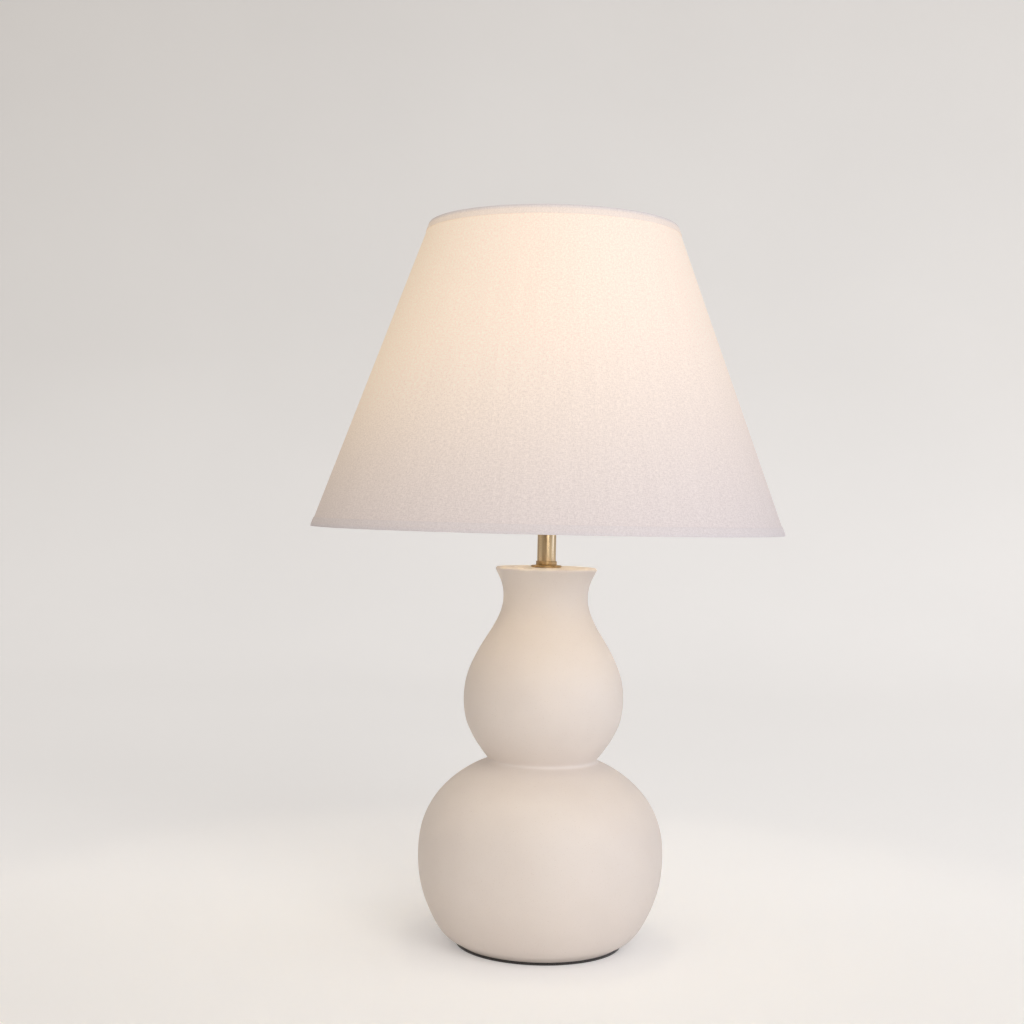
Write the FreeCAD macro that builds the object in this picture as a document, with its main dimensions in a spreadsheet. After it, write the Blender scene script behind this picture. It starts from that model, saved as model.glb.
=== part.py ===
import FreeCAD, Part
import math
import os
import re

import Sketcher
from FreeCAD import Rotation, Vector

# Double gourd table lamp. Z is up, the lamp's axis is the Z axis and the origin is the middle of the
# underside of the base pad. The harp spans X, the switch knob points to -Y and the cord leaves at +Y.

document = FreeCAD.newDocument("double_gourd_lamp")
sizes = document.addObject("Spreadsheet::Sheet", "sizes")

SIZES = (
    # foot and pad
    ("pad_thickness", 2.0), ("pad_inset", 0.7), ("foot_radius", 62.0), ("foot_edge", 1.2),
    ("recess_radius", 50.0), ("recess_depth", 18.0), ("floor_thickness", 8.0),
    # the thrown outline: equators, waist, neck and lip
    ("belly_radius", 90.7), ("belly_height", 67.5), ("waist_radius", 39.6), ("waist_rise", 68.7),
    ("waist_fillet", 3.0), ("bulb_radius", 59.3), ("bulb_rise", 45.3), ("neck_radius", 31.4),
    ("neck_rise", 74.8), ("lip_radius", 37.6), ("lip_rise", 22.7), ("lip_edge", 1.6),
    ("wall", 6.0), ("lip_thickness", 9.0), ("cavity_blend", 2.0),
    # rod and the fasteners that clamp the lamp together
    ("rod_radius", 5.1), ("rod_bore", 3.4), ("rod_hole_clearance", 0.5), ("rod_tail", 5.0),
    ("nut_flats", 15.9), ("nut_height", 3.2), ("lock_washer_radius", 9.0),
    ("lock_washer_thickness", 1.0), ("washer_radius", 19.0), ("washer_thickness", 1.6),
    ("thread_clearance", 0.05), ("fit_clearance", 0.1),
    # cord inlet at the back of the foot
    ("cord_hole_height", 11.0), ("bushing_radius", 4.2), ("bushing_bore", 3.0),
    ("flange_radius", 6.4), ("flange_thickness", 1.8), ("spot_face_depth", 63.6),
    # brass neck
    ("check_radius", 11.3), ("check_thickness", 1.6), ("collar_radius", 7.8), ("collar_height", 3.0),
    ("tube_radius", 7.0), ("tube_wall", 0.8), ("tube_length", 60.4),
    # harp saddle, harp, sleeves and seat
    ("saddle_span", 34.0), ("saddle_width", 12.0), ("saddle_thickness", 2.0), ("saddle_bend", 3.5),
    ("saddle_rise", 18.0), ("peg_radius", 1.5), ("peg_height", 7.0), ("wire_radius", 1.6),
    ("leg_length", 32.0), ("bow_span", 53.0), ("bow_low", 84.0), ("bow_high", 112.0),
    ("leg_bend", 40.0), ("bow_bend", 35.0), ("shoulder_bend", 14.0),
    ("harp_height", 170.5), ("crown_shoulder", 22.0), ("crown_radius", 6.0), ("crown_rise", 4.5),
    ("crown_drop", 2.8), ("pivot_radius", 2.05), ("pivot_length", 2.2), ("seat_radius", 9.0),
    ("seat_thickness", 1.5), ("stud_radius", 3.05), ("stud_length", 14.0),
    ("sleeve_bore", 2.1), ("sleeve_radius", 3.7), ("sleeve_length", 15.0), ("running_gap", 0.3),
    # socket
    ("hub_radius", 7.5), ("hub_height", 5.0), ("cap_radius", 17.2), ("cap_wall", 0.7),
    ("cap_slope", 5.5), ("cap_height", 22.0), ("shell_wall", 0.5), ("shell_start", 16.0),
    ("shell_height", 44.0), ("liner_wall", 0.8), ("disc_thickness", 0.8), ("body_radius", 14.7),
    ("body_start", 13.5), ("body_height", 24.0), ("terminal_depth", 3.0), ("terminal_width", 7.0),
    ("terminal_radius", 2.8), ("terminal_head", 1.6), ("screw_shell_radius", 14.2),
    ("screw_shell_wall", 0.7), ("screw_shell_height", 20.5), ("contact_radius", 3.4),
    ("contact_height", 2.2),
    # switch
    ("switch_height", 27.0), ("shaft_radius", 2.0), ("shaft_bearing", 4.8), ("shaft_hole", 2.6),
    ("shaft_length", 16.0), ("knob_radius", 5.6), ("knob_waist", 4.4), ("knob_length", 12.0),
    ("knob_grip", 6.0), ("knob_edge", 1.0),
    # bulb
    ("thread_gap", 0.3), ("tip_gap", 0.3), ("tip_radius", 4.6), ("tip_height", 1.8),
    ("insulator_radius", 9.0), ("insulator_height", 2.2), ("bulb_cap_height", 17.0),
    ("bulb_cap_wall", 0.6), ("housing_base", 14.2), ("housing_radius", 25.0),
    ("housing_height", 24.0), ("board_radius", 22.0), ("board_thickness", 1.6),
    ("globe_radius", 30.0), ("globe_wall", 1.2), ("globe_shoulder", 28.0),
    # shade
    ("shade_bottom_radius", 175.0), ("shade_top_radius", 92.5), ("shade_rise", 13.95),
    ("shade_height", 225.0), ("cover_thickness", 1.0), ("trim_thickness", 0.5), ("trim_height", 6.5),
    ("ring_wire", 1.6), ("ring_inset", 2.4), ("hub_plate_radius", 11.0), ("hub_plate", 1.6),
    ("hub_hole", 3.4), ("arm_radius", 1.4), ("arm_count", 3),
    # finial
    ("finial_base", 7.0), ("finial_neck", 4.7), ("finial_ball", 7.6), ("finial_foot", 2.2),
    ("finial_waist", 5.5), ("finial_height", 24.0), ("finial_bore", 3.15), ("finial_bore_depth", 15.5),
)

# Sizes worked out from others: the heights at which pieces stand on each other, and fitted radii.
DERIVED = (
    ("foot_level", "pad_thickness"),
    ("recess_level", "foot_level + recess_depth"),
    ("cavity_level", "recess_level + floor_thickness"),
    ("washer_level", "recess_level - washer_thickness"),
    ("lock_level", "washer_level - lock_washer_thickness"),
    ("nut_level", "lock_level - nut_height"),
    ("waist_level", "belly_height + waist_rise"),
    ("bulb_level", "waist_level + bulb_rise"),
    ("neck_level", "bulb_level + neck_rise"),
    ("lip_level", "neck_level + lip_rise"),
    ("check_level", "lip_level + check_thickness"),
    ("saddle_level", "check_level + tube_length"),
    ("socket_level", "saddle_level + saddle_thickness"),
    ("peg_level", "saddle_level + saddle_rise"),
    ("leg_level", "peg_level + peg_height + fit_clearance"),
    ("harp_level", "saddle_level + harp_height"),
    ("crown_low_level", "harp_level - crown_drop"),
    ("crown_level", "harp_level + crown_rise"),
    ("seat_level", "crown_level + thread_clearance"),
    ("stud_level", "seat_level + seat_thickness"),
    ("hub_level", "stud_level + thread_clearance"),
    ("hub_top_level", "hub_level + hub_plate"),
    ("finial_level", "hub_top_level + thread_clearance"),
    ("block_level", "socket_level + body_start"),
    ("block_top_level", "block_level + body_height"),
    ("disc_level", "socket_level + hub_height + cap_slope + cap_wall + fit_clearance"),
    ("switch_level", "socket_level + switch_height"),
    ("tip_level", "block_top_level + contact_height + tip_gap"),
    ("insulator_level", "tip_level + tip_height"),
    ("bulb_cap_level", "insulator_level + insulator_height"),
    ("housing_level", "bulb_cap_level + bulb_cap_height"),
    ("board_level", "housing_level + housing_height"),
    ("globe_level", "board_level + globe_shoulder"),
    ("shade_top_level", "stud_level + shade_rise"),
    ("shade_level", "shade_top_level - shade_height"),
    ("cover_level", "shade_level + trim_thickness + thread_clearance"),
    ("cover_top_level", "shade_top_level - trim_thickness - thread_clearance"),
    ("bottom_ring_level", "shade_level + ring_inset"),
    ("top_ring_level", "shade_top_level - ring_inset"),
    ("saddle_outside", "saddle_span + saddle_thickness / 2"),
    ("saddle_inside", "saddle_span - saddle_thickness / 2"),
    ("rod_clear", "rod_radius + thread_clearance"),
    ("shell_radius", "cap_radius - cap_wall - fit_clearance"),
    ("liner_radius", "shell_radius - shell_wall - fit_clearance"),
    ("bulb_thread", "screw_shell_radius - screw_shell_wall - thread_gap"),
    ("shaft_end", "body_radius - shaft_bearing + thread_clearance"),
    ("knob_start", "shaft_end + shaft_length"),
    ("shade_slope", "(shade_bottom_radius - shade_top_radius) / shade_height"),
    ("cover_skin", "trim_thickness + thread_clearance"),
    ("ring_offset", "trim_thickness + cover_thickness + 2 * fit_clearance"
                    " + ring_wire * sqrt(1 + shade_slope * shade_slope)"),
)
for row, (alias, content) in enumerate(SIZES + DERIVED, start=1):
    sizes.set("A%d" % row, alias.replace("_", " "))
    sizes.set("B%d" % row, "=" + content if isinstance(content, str) else str(content))
    sizes.setAlias("B%d" % row, alias)
working = document.addObject("Spreadsheet::Sheet", "working")
document.recompute()

ALIASES = {alias for alias, content in SIZES + DERIVED}
WORD = re.compile(r"[a-z][a-z_0-9]*")


def bound(expression):
    """The same expression with every size read from the sheet."""
    return WORD.sub(lambda word: "sizes." + word.group() if word.group() in ALIASES else word.group(),
                    expression)


def value(expression):
    """An expression of sizes as a plain number."""
    if expression in ALIASES:
        return float(sizes.get(expression))
    working.set("A1", "=" + bound(expression))
    working.recompute()
    return float(working.get("A1"))


nodes = []


def register(piece, name):
    piece.Label = name
    nodes.append(piece)
    return piece


def origin_plane(body, role):
    return next(item for item in body.Origin.OriginFeatures if item.Role == role)


def new_sketch(body, name, role="XZ_Plane"):
    sketch = body.newObject("Sketcher::SketchObject", name)
    sketch.AttachmentSupport = (origin_plane(body, role), "")
    sketch.MapMode = "FlatFace"
    return sketch


def draw_outline(sketch, corners):
    """A closed outline of straight runs whose corners are bound to the sheet.

    A corner is (across, up) as expressions; a zero stays on the sketch's own axis."""
    points = [Vector(value(across), value(up), 0) for across, up in corners]
    count = len(points)
    for index in range(count):
        sketch.addGeometry(Part.LineSegment(points[index], points[(index + 1) % count]), False)
    for index in range(count):
        sketch.addConstraint(Sketcher.Constraint("Coincident", index, 2, (index + 1) % count, 1))
    for index, (across, up) in enumerate(corners):
        for kind, expression, axis in (("DistanceX", across, -2), ("DistanceY", up, -1)):
            if expression == "0":
                sketch.addConstraint(Sketcher.Constraint("PointOnObject", index, 1, axis))
                continue
            number = sketch.addConstraint(
                Sketcher.Constraint(kind, -1, 1, index, 1, value(expression)))
            sketch.setExpression("Constraints[%d]" % number, bound(expression))


def revolve(body, sketch, name="turning"):
    turning = body.newObject("PartDesign::Revolution", name)
    turning.Profile = sketch
    turning.ReferenceAxis = (sketch, ["V_Axis"])
    turning.Angle = 360
    body.Tip = turning
    return turning


def turned(name, corners):
    """A piece turned about the lamp's axis from a closed outline of corners (radius, height)."""
    body = document.addObject("PartDesign::Body", name)
    sketch = new_sketch(body, name + "_outline")
    draw_outline(sketch, corners)
    revolve(body, sketch)
    return register(body, name)


def tube_section(outer, inner, low, high):
    return ((inner, low), (outer, low), (outer, high), (inner, high))


def primitive(kind, name, placement=None, **lengths):
    """A Part primitive whose lengths are expressions of the sizes."""
    solid = document.addObject(kind, name)
    for attribute, expression in lengths.items():
        solid.setExpression(attribute, bound(expression))
    if placement:
        solid.Placement = placement
    return solid


def lift(piece, height):
    piece.setExpression("Placement.Base.z", bound(height))
    return piece


def cut(name, base, tool):
    result = document.addObject("Part::Cut", name)
    result.Base = base
    result.Tool = tool
    return result


# Felt pad, a plain disc glued under the foot.
turned("base_pad", (("0", "0"), ("foot_radius - pad_inset", "0"),
                    ("foot_radius - pad_inset", "pad_thickness"), ("0", "pad_thickness")))


# Slip-cast ceramic body. Each stretch of the thrown outline runs between two named stations, and its
# shares say how far up the stretch a point lies and how much of the swell is left there.
BELLY_BELOW = ((0.3, 0.944), (0.5, 0.823), (0.7, 0.63), (0.85, 0.43), (0.94, 0.24))
BELLY_ABOVE = ((0.3, 0.949), (0.5, 0.837), (0.7, 0.634), (0.85, 0.391), (0.94, 0.183))
BULB_BELOW = ((0.27, 0.941), (0.40, 0.862), (0.53, 0.729), (0.66, 0.569), (0.79, 0.367), (0.92, 0.149))
SHOULDER = ((0.245, 0.907), (0.404, 0.731), (0.563, 0.498), (0.683, 0.297), (0.802, 0.129),
            (0.921, 0.023))
FLARE = ((0.35, 0.10), (0.65, 0.42), (0.85, 0.75))


def stretch(wide, narrow, shares):
    """Points between two stations (radius, height), from the wide one to the narrow one."""
    (wide_radius, wide_height), (narrow_radius, narrow_height) = wide, narrow
    return [(narrow_radius + left * (wide_radius - narrow_radius),
             wide_height + along * (narrow_height - wide_height)) for along, left in shares]


def offset_inward(points, distance):
    """The outline moved inside by the wall, square to itself at each point."""
    moved = []
    for index, (radius, height) in enumerate(points):
        before = points[max(index - 1, 0)]
        after = points[min(index + 1, len(points) - 1)]
        along, rise = after[0] - before[0], after[1] - before[1]
        size = math.hypot(along, rise)
        moved.append((radius - distance * rise / size, height + distance * along / size))
    return moved


def radius_at(points, height):
    """The radius of a chain of points at a height."""
    for (low_radius, low), (high_radius, high) in zip(points, points[1:]):
        if low <= height <= high:
            return low_radius + (high_radius - low_radius) * (height - low) / (high - low)
    return points[0][0] if height < points[0][1] else points[-1][0]


def spline(points):
    curve = Part.BSplineCurve()
    curve.interpolate([Vector(radius, height, 0) for radius, height in points])
    return curve


def run(start, end):
    return Part.LineSegment(Vector(start[0], start[1], 0), Vector(end[0], end[1], 0))


foot = (value("foot_radius"), value("foot_level") + value("foot_edge"))
belly = (value("belly_radius"), value("belly_height"))
waist = (value("waist_radius"), value("waist_level"))
bulb = (value("bulb_radius"), value("bulb_level"))
neck = (value("neck_radius"), value("neck_level"))
lip = (value("lip_radius"), value("lip_level - lip_edge"))
lower_outline = ([foot] + stretch(belly, foot, BELLY_BELOW)[::-1] + [belly]
                 + stretch(belly, waist, BELLY_ABOVE))
flare = [(neck[0] + share * (lip[0] - neck[0]), neck[1] + along * (lip[1] - neck[1]))
         for along, share in FLARE]
upper_outline = (stretch(bulb, waist, BULB_BELOW)[::-1] + [bulb]
                 + stretch(bulb, neck, SHOULDER) + [neck] + flare + [lip])


def toward(start, end, distance):
    """The point at a distance from start on the way to end."""
    share = distance / math.dist(start, end)
    return tuple(a + share * (b - a) for a, b in zip(start, end))


# The waist is a crease softened by a small hollow arc, tangent to both swells.
crease_low = toward(waist, lower_outline[-1], value("waist_fillet"))
crease_high = toward(waist, upper_outline[0], value("waist_fillet"))
crease_chord = toward(crease_low, crease_high, math.dist(crease_low, crease_high) / 2)
opening = math.dist(waist, crease_chord)
half_chord = math.dist(crease_low, crease_chord)
crease_radius = value("waist_fillet") * half_chord / opening
crease_middle = toward(waist, crease_chord,
                       math.hypot(crease_radius, value("waist_fillet")) - crease_radius)
lower_outline.append(crease_low)
upper_outline.insert(0, crease_high)

cavity_floor = value("cavity_level")
cavity_roof = value("lip_level - lip_thickness")
lower_inside = offset_inward(lower_outline, value("wall"))
upper_inside = offset_inward(upper_outline, value("wall"))
lower_cavity = ([(radius_at(lower_inside, cavity_floor), cavity_floor)]
                + [point for point in lower_inside if point[1] > cavity_floor + value("cavity_blend")])
upper_cavity = ([point for point in upper_inside if point[1] < cavity_roof - value("cavity_blend")]
                + [(radius_at(upper_inside, cavity_roof), cavity_roof)])

body = document.addObject("PartDesign::Body", "gourd_body")
outline = new_sketch(body, "gourd_outline")
rod_hole = value("rod_radius + rod_hole_clearance")
recess = value("recess_radius")
recess_top = value("recess_level")
lip_top = value("lip_level")
foot_inner = (foot[0] - value("foot_edge"), value("foot_level"))
lip_inner = (lip[0] - value("lip_edge"), lip_top)
round_share = math.sin(math.radians(45))
lip_middle = (lip_inner[0] + value("lip_edge") * round_share, lip[1] + value("lip_edge") * round_share)
for edge in (
        run((rod_hole, recess_top), (recess, recess_top)),
        run((recess, recess_top), (recess, value("foot_level"))),
        run((recess, value("foot_level")), foot_inner),
        run(foot_inner, foot),
        spline(lower_outline),
        Part.Arc(Vector(crease_low[0], crease_low[1], 0), Vector(crease_middle[0], crease_middle[1], 0),
                 Vector(crease_high[0], crease_high[1], 0)),
        spline(upper_outline),
        Part.Arc(Vector(lip[0], lip[1], 0), Vector(lip_middle[0], lip_middle[1], 0),
                 Vector(lip_inner[0], lip_inner[1], 0)),
        run(lip_inner, (rod_hole, lip_top)),
        run((rod_hole, lip_top), (rod_hole, cavity_roof)),
        run((rod_hole, cavity_roof), upper_cavity[-1]),
        spline(upper_cavity[::-1]),
        run(upper_cavity[0], lower_cavity[-1]),
        spline(lower_cavity[::-1]),
        run(lower_cavity[0], (rod_hole, cavity_floor)),
        run((rod_hole, cavity_floor), (rod_hole, recess_top))):
    outline.addGeometry(edge, False)
revolve(body, outline)
document.recompute()


def drill_back(name, radius, start):
    """A round hole bored along +Y from a depth to the open, at the height of the cord."""
    sketch = new_sketch(body, name + "_circle")
    sketch.addGeometry(Part.Circle(Vector(0, value("cord_hole_height"), 0), Vector(0, 0, 1),
                                   value(radius)), False)
    sketch.addConstraint(Sketcher.Constraint("PointOnObject", 0, 3, -2))
    place = sketch.addConstraint(
        Sketcher.Constraint("DistanceY", -1, 1, 0, 3, value("cord_hole_height")))
    sketch.setExpression("Constraints[%d]" % place, bound("cord_hole_height"))
    size = sketch.addConstraint(Sketcher.Constraint("Radius", 0, value(radius)))
    sketch.setExpression("Constraints[%d]" % size, bound(radius))
    sketch.setExpression("AttachmentOffset.Base.z", bound("-(%s)" % start))
    hole = body.newObject("PartDesign::Pocket", name)
    hole.Profile = sketch
    hole.Type = 0
    hole.setExpression("Length", bound("foot_radius"))
    before = body.Shape.Volume
    body.Tip = hole
    document.recompute()
    print(name, "removes", round(before - body.Shape.Volume, 1), "mm3")


drill_back("cord_hole", "bushing_radius + fit_clearance", "recess_radius - floor_thickness")
drill_back("spot_face", "flange_radius + fit_clearance", "spot_face_depth")
register(body, "gourd_body")

# Cord bushing, pressed into the hole at the back of the foot; turned about its own axis.
bushing = turned("cord_bushing", (
    ("bushing_bore", "recess_radius"), ("bushing_radius", "recess_radius"),
    ("bushing_radius", "spot_face_depth"), ("flange_radius", "spot_face_depth"),
    ("flange_radius", "spot_face_depth + flange_thickness"),
    ("bushing_bore", "spot_face_depth + flange_thickness")))
bushing.Placement.Rotation = Rotation(Vector(1, 0, 0), -90)
bushing.setExpression("Placement.Base.z", bound("cord_hole_height"))

# Fasteners under the floor of the body.
turned("base_washer", tube_section("washer_radius", "rod_clear", "washer_level", "recess_level"))
turned("lock_washer", tube_section("lock_washer_radius", "rod_clear", "lock_level", "washer_level"))
nut_blank = lift(primitive("Part::Prism", "nut_blank", Height="nut_height",
                           Circumradius="nut_flats / 2 / cos(30)"), "nut_level")
nut_blank.Polygon = 6
nut_bore = lift(primitive("Part::Cylinder", "nut_bore", Radius="rod_clear", Height="nut_height"),
                "nut_level")
register(cut("base_nut", nut_blank, nut_bore), "base_nut")
turned("threaded_rod", tube_section("rod_radius", "rod_bore", "nut_level - rod_tail",
                                    "socket_level + hub_height"))

# Brass neck: check ring on the lip, neck tube standing on it and a low collar round its foot.
turned("check_ring", tube_section("check_radius", "rod_clear", "lip_level", "check_level"))
turned("tube_collar", tube_section("collar_radius", "tube_radius + thread_clearance", "check_level",
                                   "check_level + collar_height"))
turned("neck_tube", tube_section("tube_radius", "tube_radius - tube_wall", "check_level", "saddle_level"))

# Harp saddle: a bent strip clamped under the socket, with a peg on each arm.
saddle = document.addObject("PartDesign::Body", "saddle_strip")
section = new_sketch(saddle, "saddle_section")
draw_outline(section, (
    ("-saddle_outside", "saddle_level + saddle_bend"), ("-saddle_outside + saddle_bend", "saddle_level"),
    ("saddle_outside - saddle_bend", "saddle_level"), ("saddle_outside", "saddle_level + saddle_bend"),
    ("saddle_outside", "peg_level"), ("saddle_inside", "peg_level"),
    ("saddle_inside", "saddle_level + saddle_bend"),
    ("saddle_inside - saddle_bend + saddle_thickness / 2", "socket_level"),
    ("-saddle_inside + saddle_bend - saddle_thickness / 2", "socket_level"),
    ("-saddle_inside", "saddle_level + saddle_bend"), ("-saddle_inside", "peg_level"),
    ("-saddle_outside", "peg_level")))
strip = saddle.newObject("PartDesign::Pad", "strip")
strip.Profile = section
strip.Midplane = True
strip.setExpression("Length", bound("saddle_width"))
saddle.Tip = strip
document.recompute()
saddle_hole = lift(primitive("Part::Cylinder", "saddle_hole", Radius="rod_clear",
                             Height="saddle_thickness"), "saddle_level")
pegs = []
for side in (-1, 1):
    peg = lift(primitive("Part::Cylinder", "peg", Radius="peg_radius", Height="peg_height"), "peg_level")
    peg.setExpression("Placement.Base.x", bound("%d * saddle_span" % side))
    pegs.append(peg)
pegged = document.addObject("Part::MultiFuse", "saddle_pegged")
pegged.Shapes = [saddle] + pegs
register(cut("harp_saddle", pegged, saddle_hole), "harp_saddle")

# Harp: one bent wire, from one leg over the crown to the other.
def rounded_path(points, radii):
    """Straight runs through the points, joined by tangent arcs of the given radii."""
    edges = []
    start = points[0]
    for index, radius in enumerate(radii, start=1):
        corner, after = points[index], points[index + 1]
        back = (points[index - 1] - corner).normalize()
        ahead = (after - corner).normalize()
        half_angle = back.getAngle(ahead) / 2
        reach = radius / math.tan(half_angle)
        centre = corner + (back + ahead).normalize() * (radius / math.sin(half_angle))
        begin, end = corner + back * reach, corner + ahead * reach
        middle = centre + (corner - centre).normalize() * radius
        edges.append(Part.LineSegment(start, begin).toShape())
        edges.append(Part.Arc(begin, middle, end).toShape())
        start = end
    edges.append(Part.LineSegment(start, points[-1]).toShape())
    return Part.Wire(edges)


leg = value("saddle_span")
leg_low = value("leg_level")
wire_base = value("saddle_level")
bow = value("bow_span")
shoulder = value("crown_shoulder")
right_half = [(leg, leg_low), (leg, leg_low + value("leg_length")), (bow, wire_base + value("bow_low")),
              (bow, wire_base + value("bow_high")), (shoulder, value("harp_level"))]
harp_points = [Vector(x, 0, z) for x, z in right_half] + [Vector(-x, 0, z) for x, z in right_half[::-1]]
right_bends = [value(name) for name in ("leg_bend", "bow_bend", "bow_bend", "shoulder_bend")]
bend_radii = right_bends + right_bends[::-1]
harp_path = rounded_path(harp_points, bend_radii)
wire_section = Part.Wire([Part.makeCircle(value("wire_radius"), harp_points[0], Vector(0, 0, 1))])
harp_wire = document.addObject("Part::Feature", "harp_wire")
harp_wire.Shape = harp_path.makePipeShell([wire_section], True, False)
print("harp wire", round(harp_path.Length, 1), "mm, volume", round(harp_wire.Shape.Volume, 1), "against",
      round(math.pi * value("wire_radius") ** 2 * harp_path.Length, 1))
register(harp_wire, "harp_wire")

# Crown: a drilled block on the wire's top that carries the swivel seat and its stud.
crown_blank = lift(primitive("Part::Cylinder", "crown_blank", Radius="crown_radius",
                             Height="crown_rise + crown_drop"), "crown_low_level")
wire_way = lift(primitive("Part::Cylinder", "wire_way", Radius="wire_radius + thread_clearance",
                          Height="4 * crown_radius",
                          placement=FreeCAD.Placement(Vector(0, 0, 0), Rotation(Vector(0, 1, 0), 90))),
                "harp_level")
wire_way.setExpression("Placement.Base.x", bound("-2 * crown_radius"))
pivot_way = lift(primitive("Part::Cylinder", "pivot_way", Radius="pivot_radius + thread_clearance",
                           Height="pivot_length + thread_clearance"),
                 "crown_level - pivot_length")
register(cut("harp_crown", cut("crown_drilled", crown_blank, wire_way), pivot_way), "harp_crown")
turned("harp_seat", (
    ("0", "seat_level - pivot_length"), ("pivot_radius", "seat_level - pivot_length"),
    ("pivot_radius", "seat_level"), ("seat_radius", "seat_level"), ("seat_radius", "stud_level"),
    ("stud_radius", "stud_level"), ("stud_radius", "stud_level + stud_length"),
    ("0", "stud_level + stud_length")))

# Two loose sleeves that lock the harp's legs to the saddle's pegs.
for name, side in (("sleeve_left", -1), ("sleeve_right", 1)):
    sleeve = turned(name, tube_section("sleeve_radius", "sleeve_bore", "peg_level + running_gap",
                                       "peg_level + running_gap + sleeve_length"))
    sleeve.setExpression("Placement.Base.x", bound("%d * saddle_span" % side))

# Socket cap: a spun brass cup screwed on the rod.
turned("socket_cap", (
    ("rod_clear", "socket_level"), ("hub_radius", "socket_level"),
    ("hub_radius", "socket_level + hub_height"),
    ("cap_radius", "socket_level + hub_height + cap_slope"), ("cap_radius", "socket_level + cap_height"),
    ("cap_radius - cap_wall", "socket_level + cap_height"),
    ("cap_radius - cap_wall", "socket_level + hub_height + cap_slope + cap_wall"),
    ("hub_radius", "socket_level + hub_height + cap_wall"),
    ("rod_clear", "socket_level + hub_height + cap_wall")))
turned("cap_disc", tube_section("cap_radius - cap_wall - fit_clearance", "rod_radius", "disc_level",
                                "disc_level + disc_thickness"))


def sleeve_with_hole(name, outer, wall, low, high):
    """A thin cylinder with a round hole for the switch shaft in its -Y side."""
    skin = turned(name + "_skin", tube_section(outer, "%s - %s" % (outer, wall), low, high))
    nodes.remove(skin)
    hole = lift(primitive("Part::Cylinder", name + "_hole", Radius="shaft_hole", Height="cap_radius",
                          placement=FreeCAD.Placement(Vector(0, 0, 0), Rotation(Vector(1, 0, 0), 90))),
                "switch_level")
    return register(cut(name, skin, hole), name)


sleeve_with_hole("socket_shell", "shell_radius", "shell_wall", "socket_level + shell_start",
                 "socket_level + shell_start + shell_height")
sleeve_with_hole("shell_liner", "liner_radius", "liner_wall", "socket_level + shell_start",
                 "socket_level + shell_start + shell_height - fit_clearance")

# Socket body: moulded block with the switch bearing and a slot for each terminal screw.
block = turned("socket_block", (("0", "block_level"), ("body_radius", "block_level"),
                                ("body_radius", "block_top_level"), ("0", "block_top_level")))
nodes.remove(block)
bearing = lift(primitive("Part::Cylinder", "switch_bearing", Radius="shaft_radius + thread_clearance",
                         Height="shaft_bearing",
                         placement=FreeCAD.Placement(Vector(0, 0, 0), Rotation(Vector(1, 0, 0), 90))),
               "switch_level")
bearing.setExpression("Placement.Base.y", bound("shaft_bearing - body_radius"))
slots = []
for side in (-1, 1):
    slot = lift(primitive("Part::Box", "terminal_slot", Length="terminal_depth",
                          Width="terminal_width", Height="terminal_width"),
                "(switch_level - terminal_width / 2)")
    slot.setExpression("Placement.Base.y", bound("-terminal_width / 2"))
    slot.setExpression("Placement.Base.x",
                       bound("body_radius - terminal_depth" if side > 0 else "-body_radius"))
    slots.append(slot)
hollows = document.addObject("Part::MultiFuse", "socket_hollows")
hollows.Shapes = [bearing] + slots
register(cut("socket_body", block, hollows), "socket_body")

terminals = []
for side in (-1, 1):
    screw = lift(primitive("Part::Cylinder", "terminal", Radius="terminal_radius",
                           Height="terminal_head",
                           placement=FreeCAD.Placement(Vector(0, 0, 0),
                                                       Rotation(Vector(0, 1, 0), side * 90))),
                 "switch_level")
    screw.setExpression("Placement.Base.x", bound("%d * (body_radius - terminal_depth)" % side))
    terminals.append(screw)
pair = document.addObject("Part::Compound", "terminal_screws")
pair.Links = terminals
register(pair, "terminal_screws")

turned("screw_shell", tube_section("screw_shell_radius", "screw_shell_radius - screw_shell_wall",
                                   "block_top_level", "block_top_level + screw_shell_height"))
turned("centre_contact", (("0", "block_top_level"), ("contact_radius", "block_top_level"),
                          ("contact_radius", "block_top_level + contact_height / 2"),
                          ("contact_radius / 2", "block_top_level + contact_height"),
                          ("0", "block_top_level + contact_height")))

# Rotary switch: a steel shaft and a moulded knob, turned about their own axis, which points to -Y.
def lay_to_front(piece):
    piece.Placement.Rotation = Rotation(Vector(1, 0, 0), 90)
    piece.setExpression("Placement.Base.z", bound("switch_level"))
    return piece


lay_to_front(turned("switch_shaft", (("0", "shaft_end"), ("shaft_radius", "shaft_end"),
                                     ("shaft_radius", "knob_start"), ("0", "knob_start"))))
lay_to_front(turned("switch_knob", (
    ("0", "knob_start"), ("knob_waist", "knob_start"),
    ("knob_waist", "knob_start + knob_length - knob_grip"),
    ("knob_radius", "knob_start + knob_length - knob_grip + knob_edge"),
    ("knob_radius", "knob_start + knob_length - knob_edge"),
    ("knob_radius - knob_edge", "knob_start + knob_length"), ("0", "knob_start + knob_length"))))

# Bulb: contact tip, glass insulator, screw cap, plastic housing, board and globe.
turned("bulb_tip", (("0", "tip_level"), ("tip_radius / 2", "tip_level"), ("tip_radius", "insulator_level"),
                    ("0", "insulator_level")))
turned("bulb_insulator", (("0", "insulator_level"), ("tip_radius", "insulator_level"),
                          ("insulator_radius", "bulb_cap_level"), ("0", "bulb_cap_level")))
turned("bulb_cap", (
    ("0", "bulb_cap_level"), ("bulb_thread", "bulb_cap_level"), ("bulb_thread", "housing_level"),
    ("bulb_thread - bulb_cap_wall", "housing_level"),
    ("bulb_thread - bulb_cap_wall", "bulb_cap_level + bulb_cap_wall"),
    ("0", "bulb_cap_level + bulb_cap_wall")))
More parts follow.
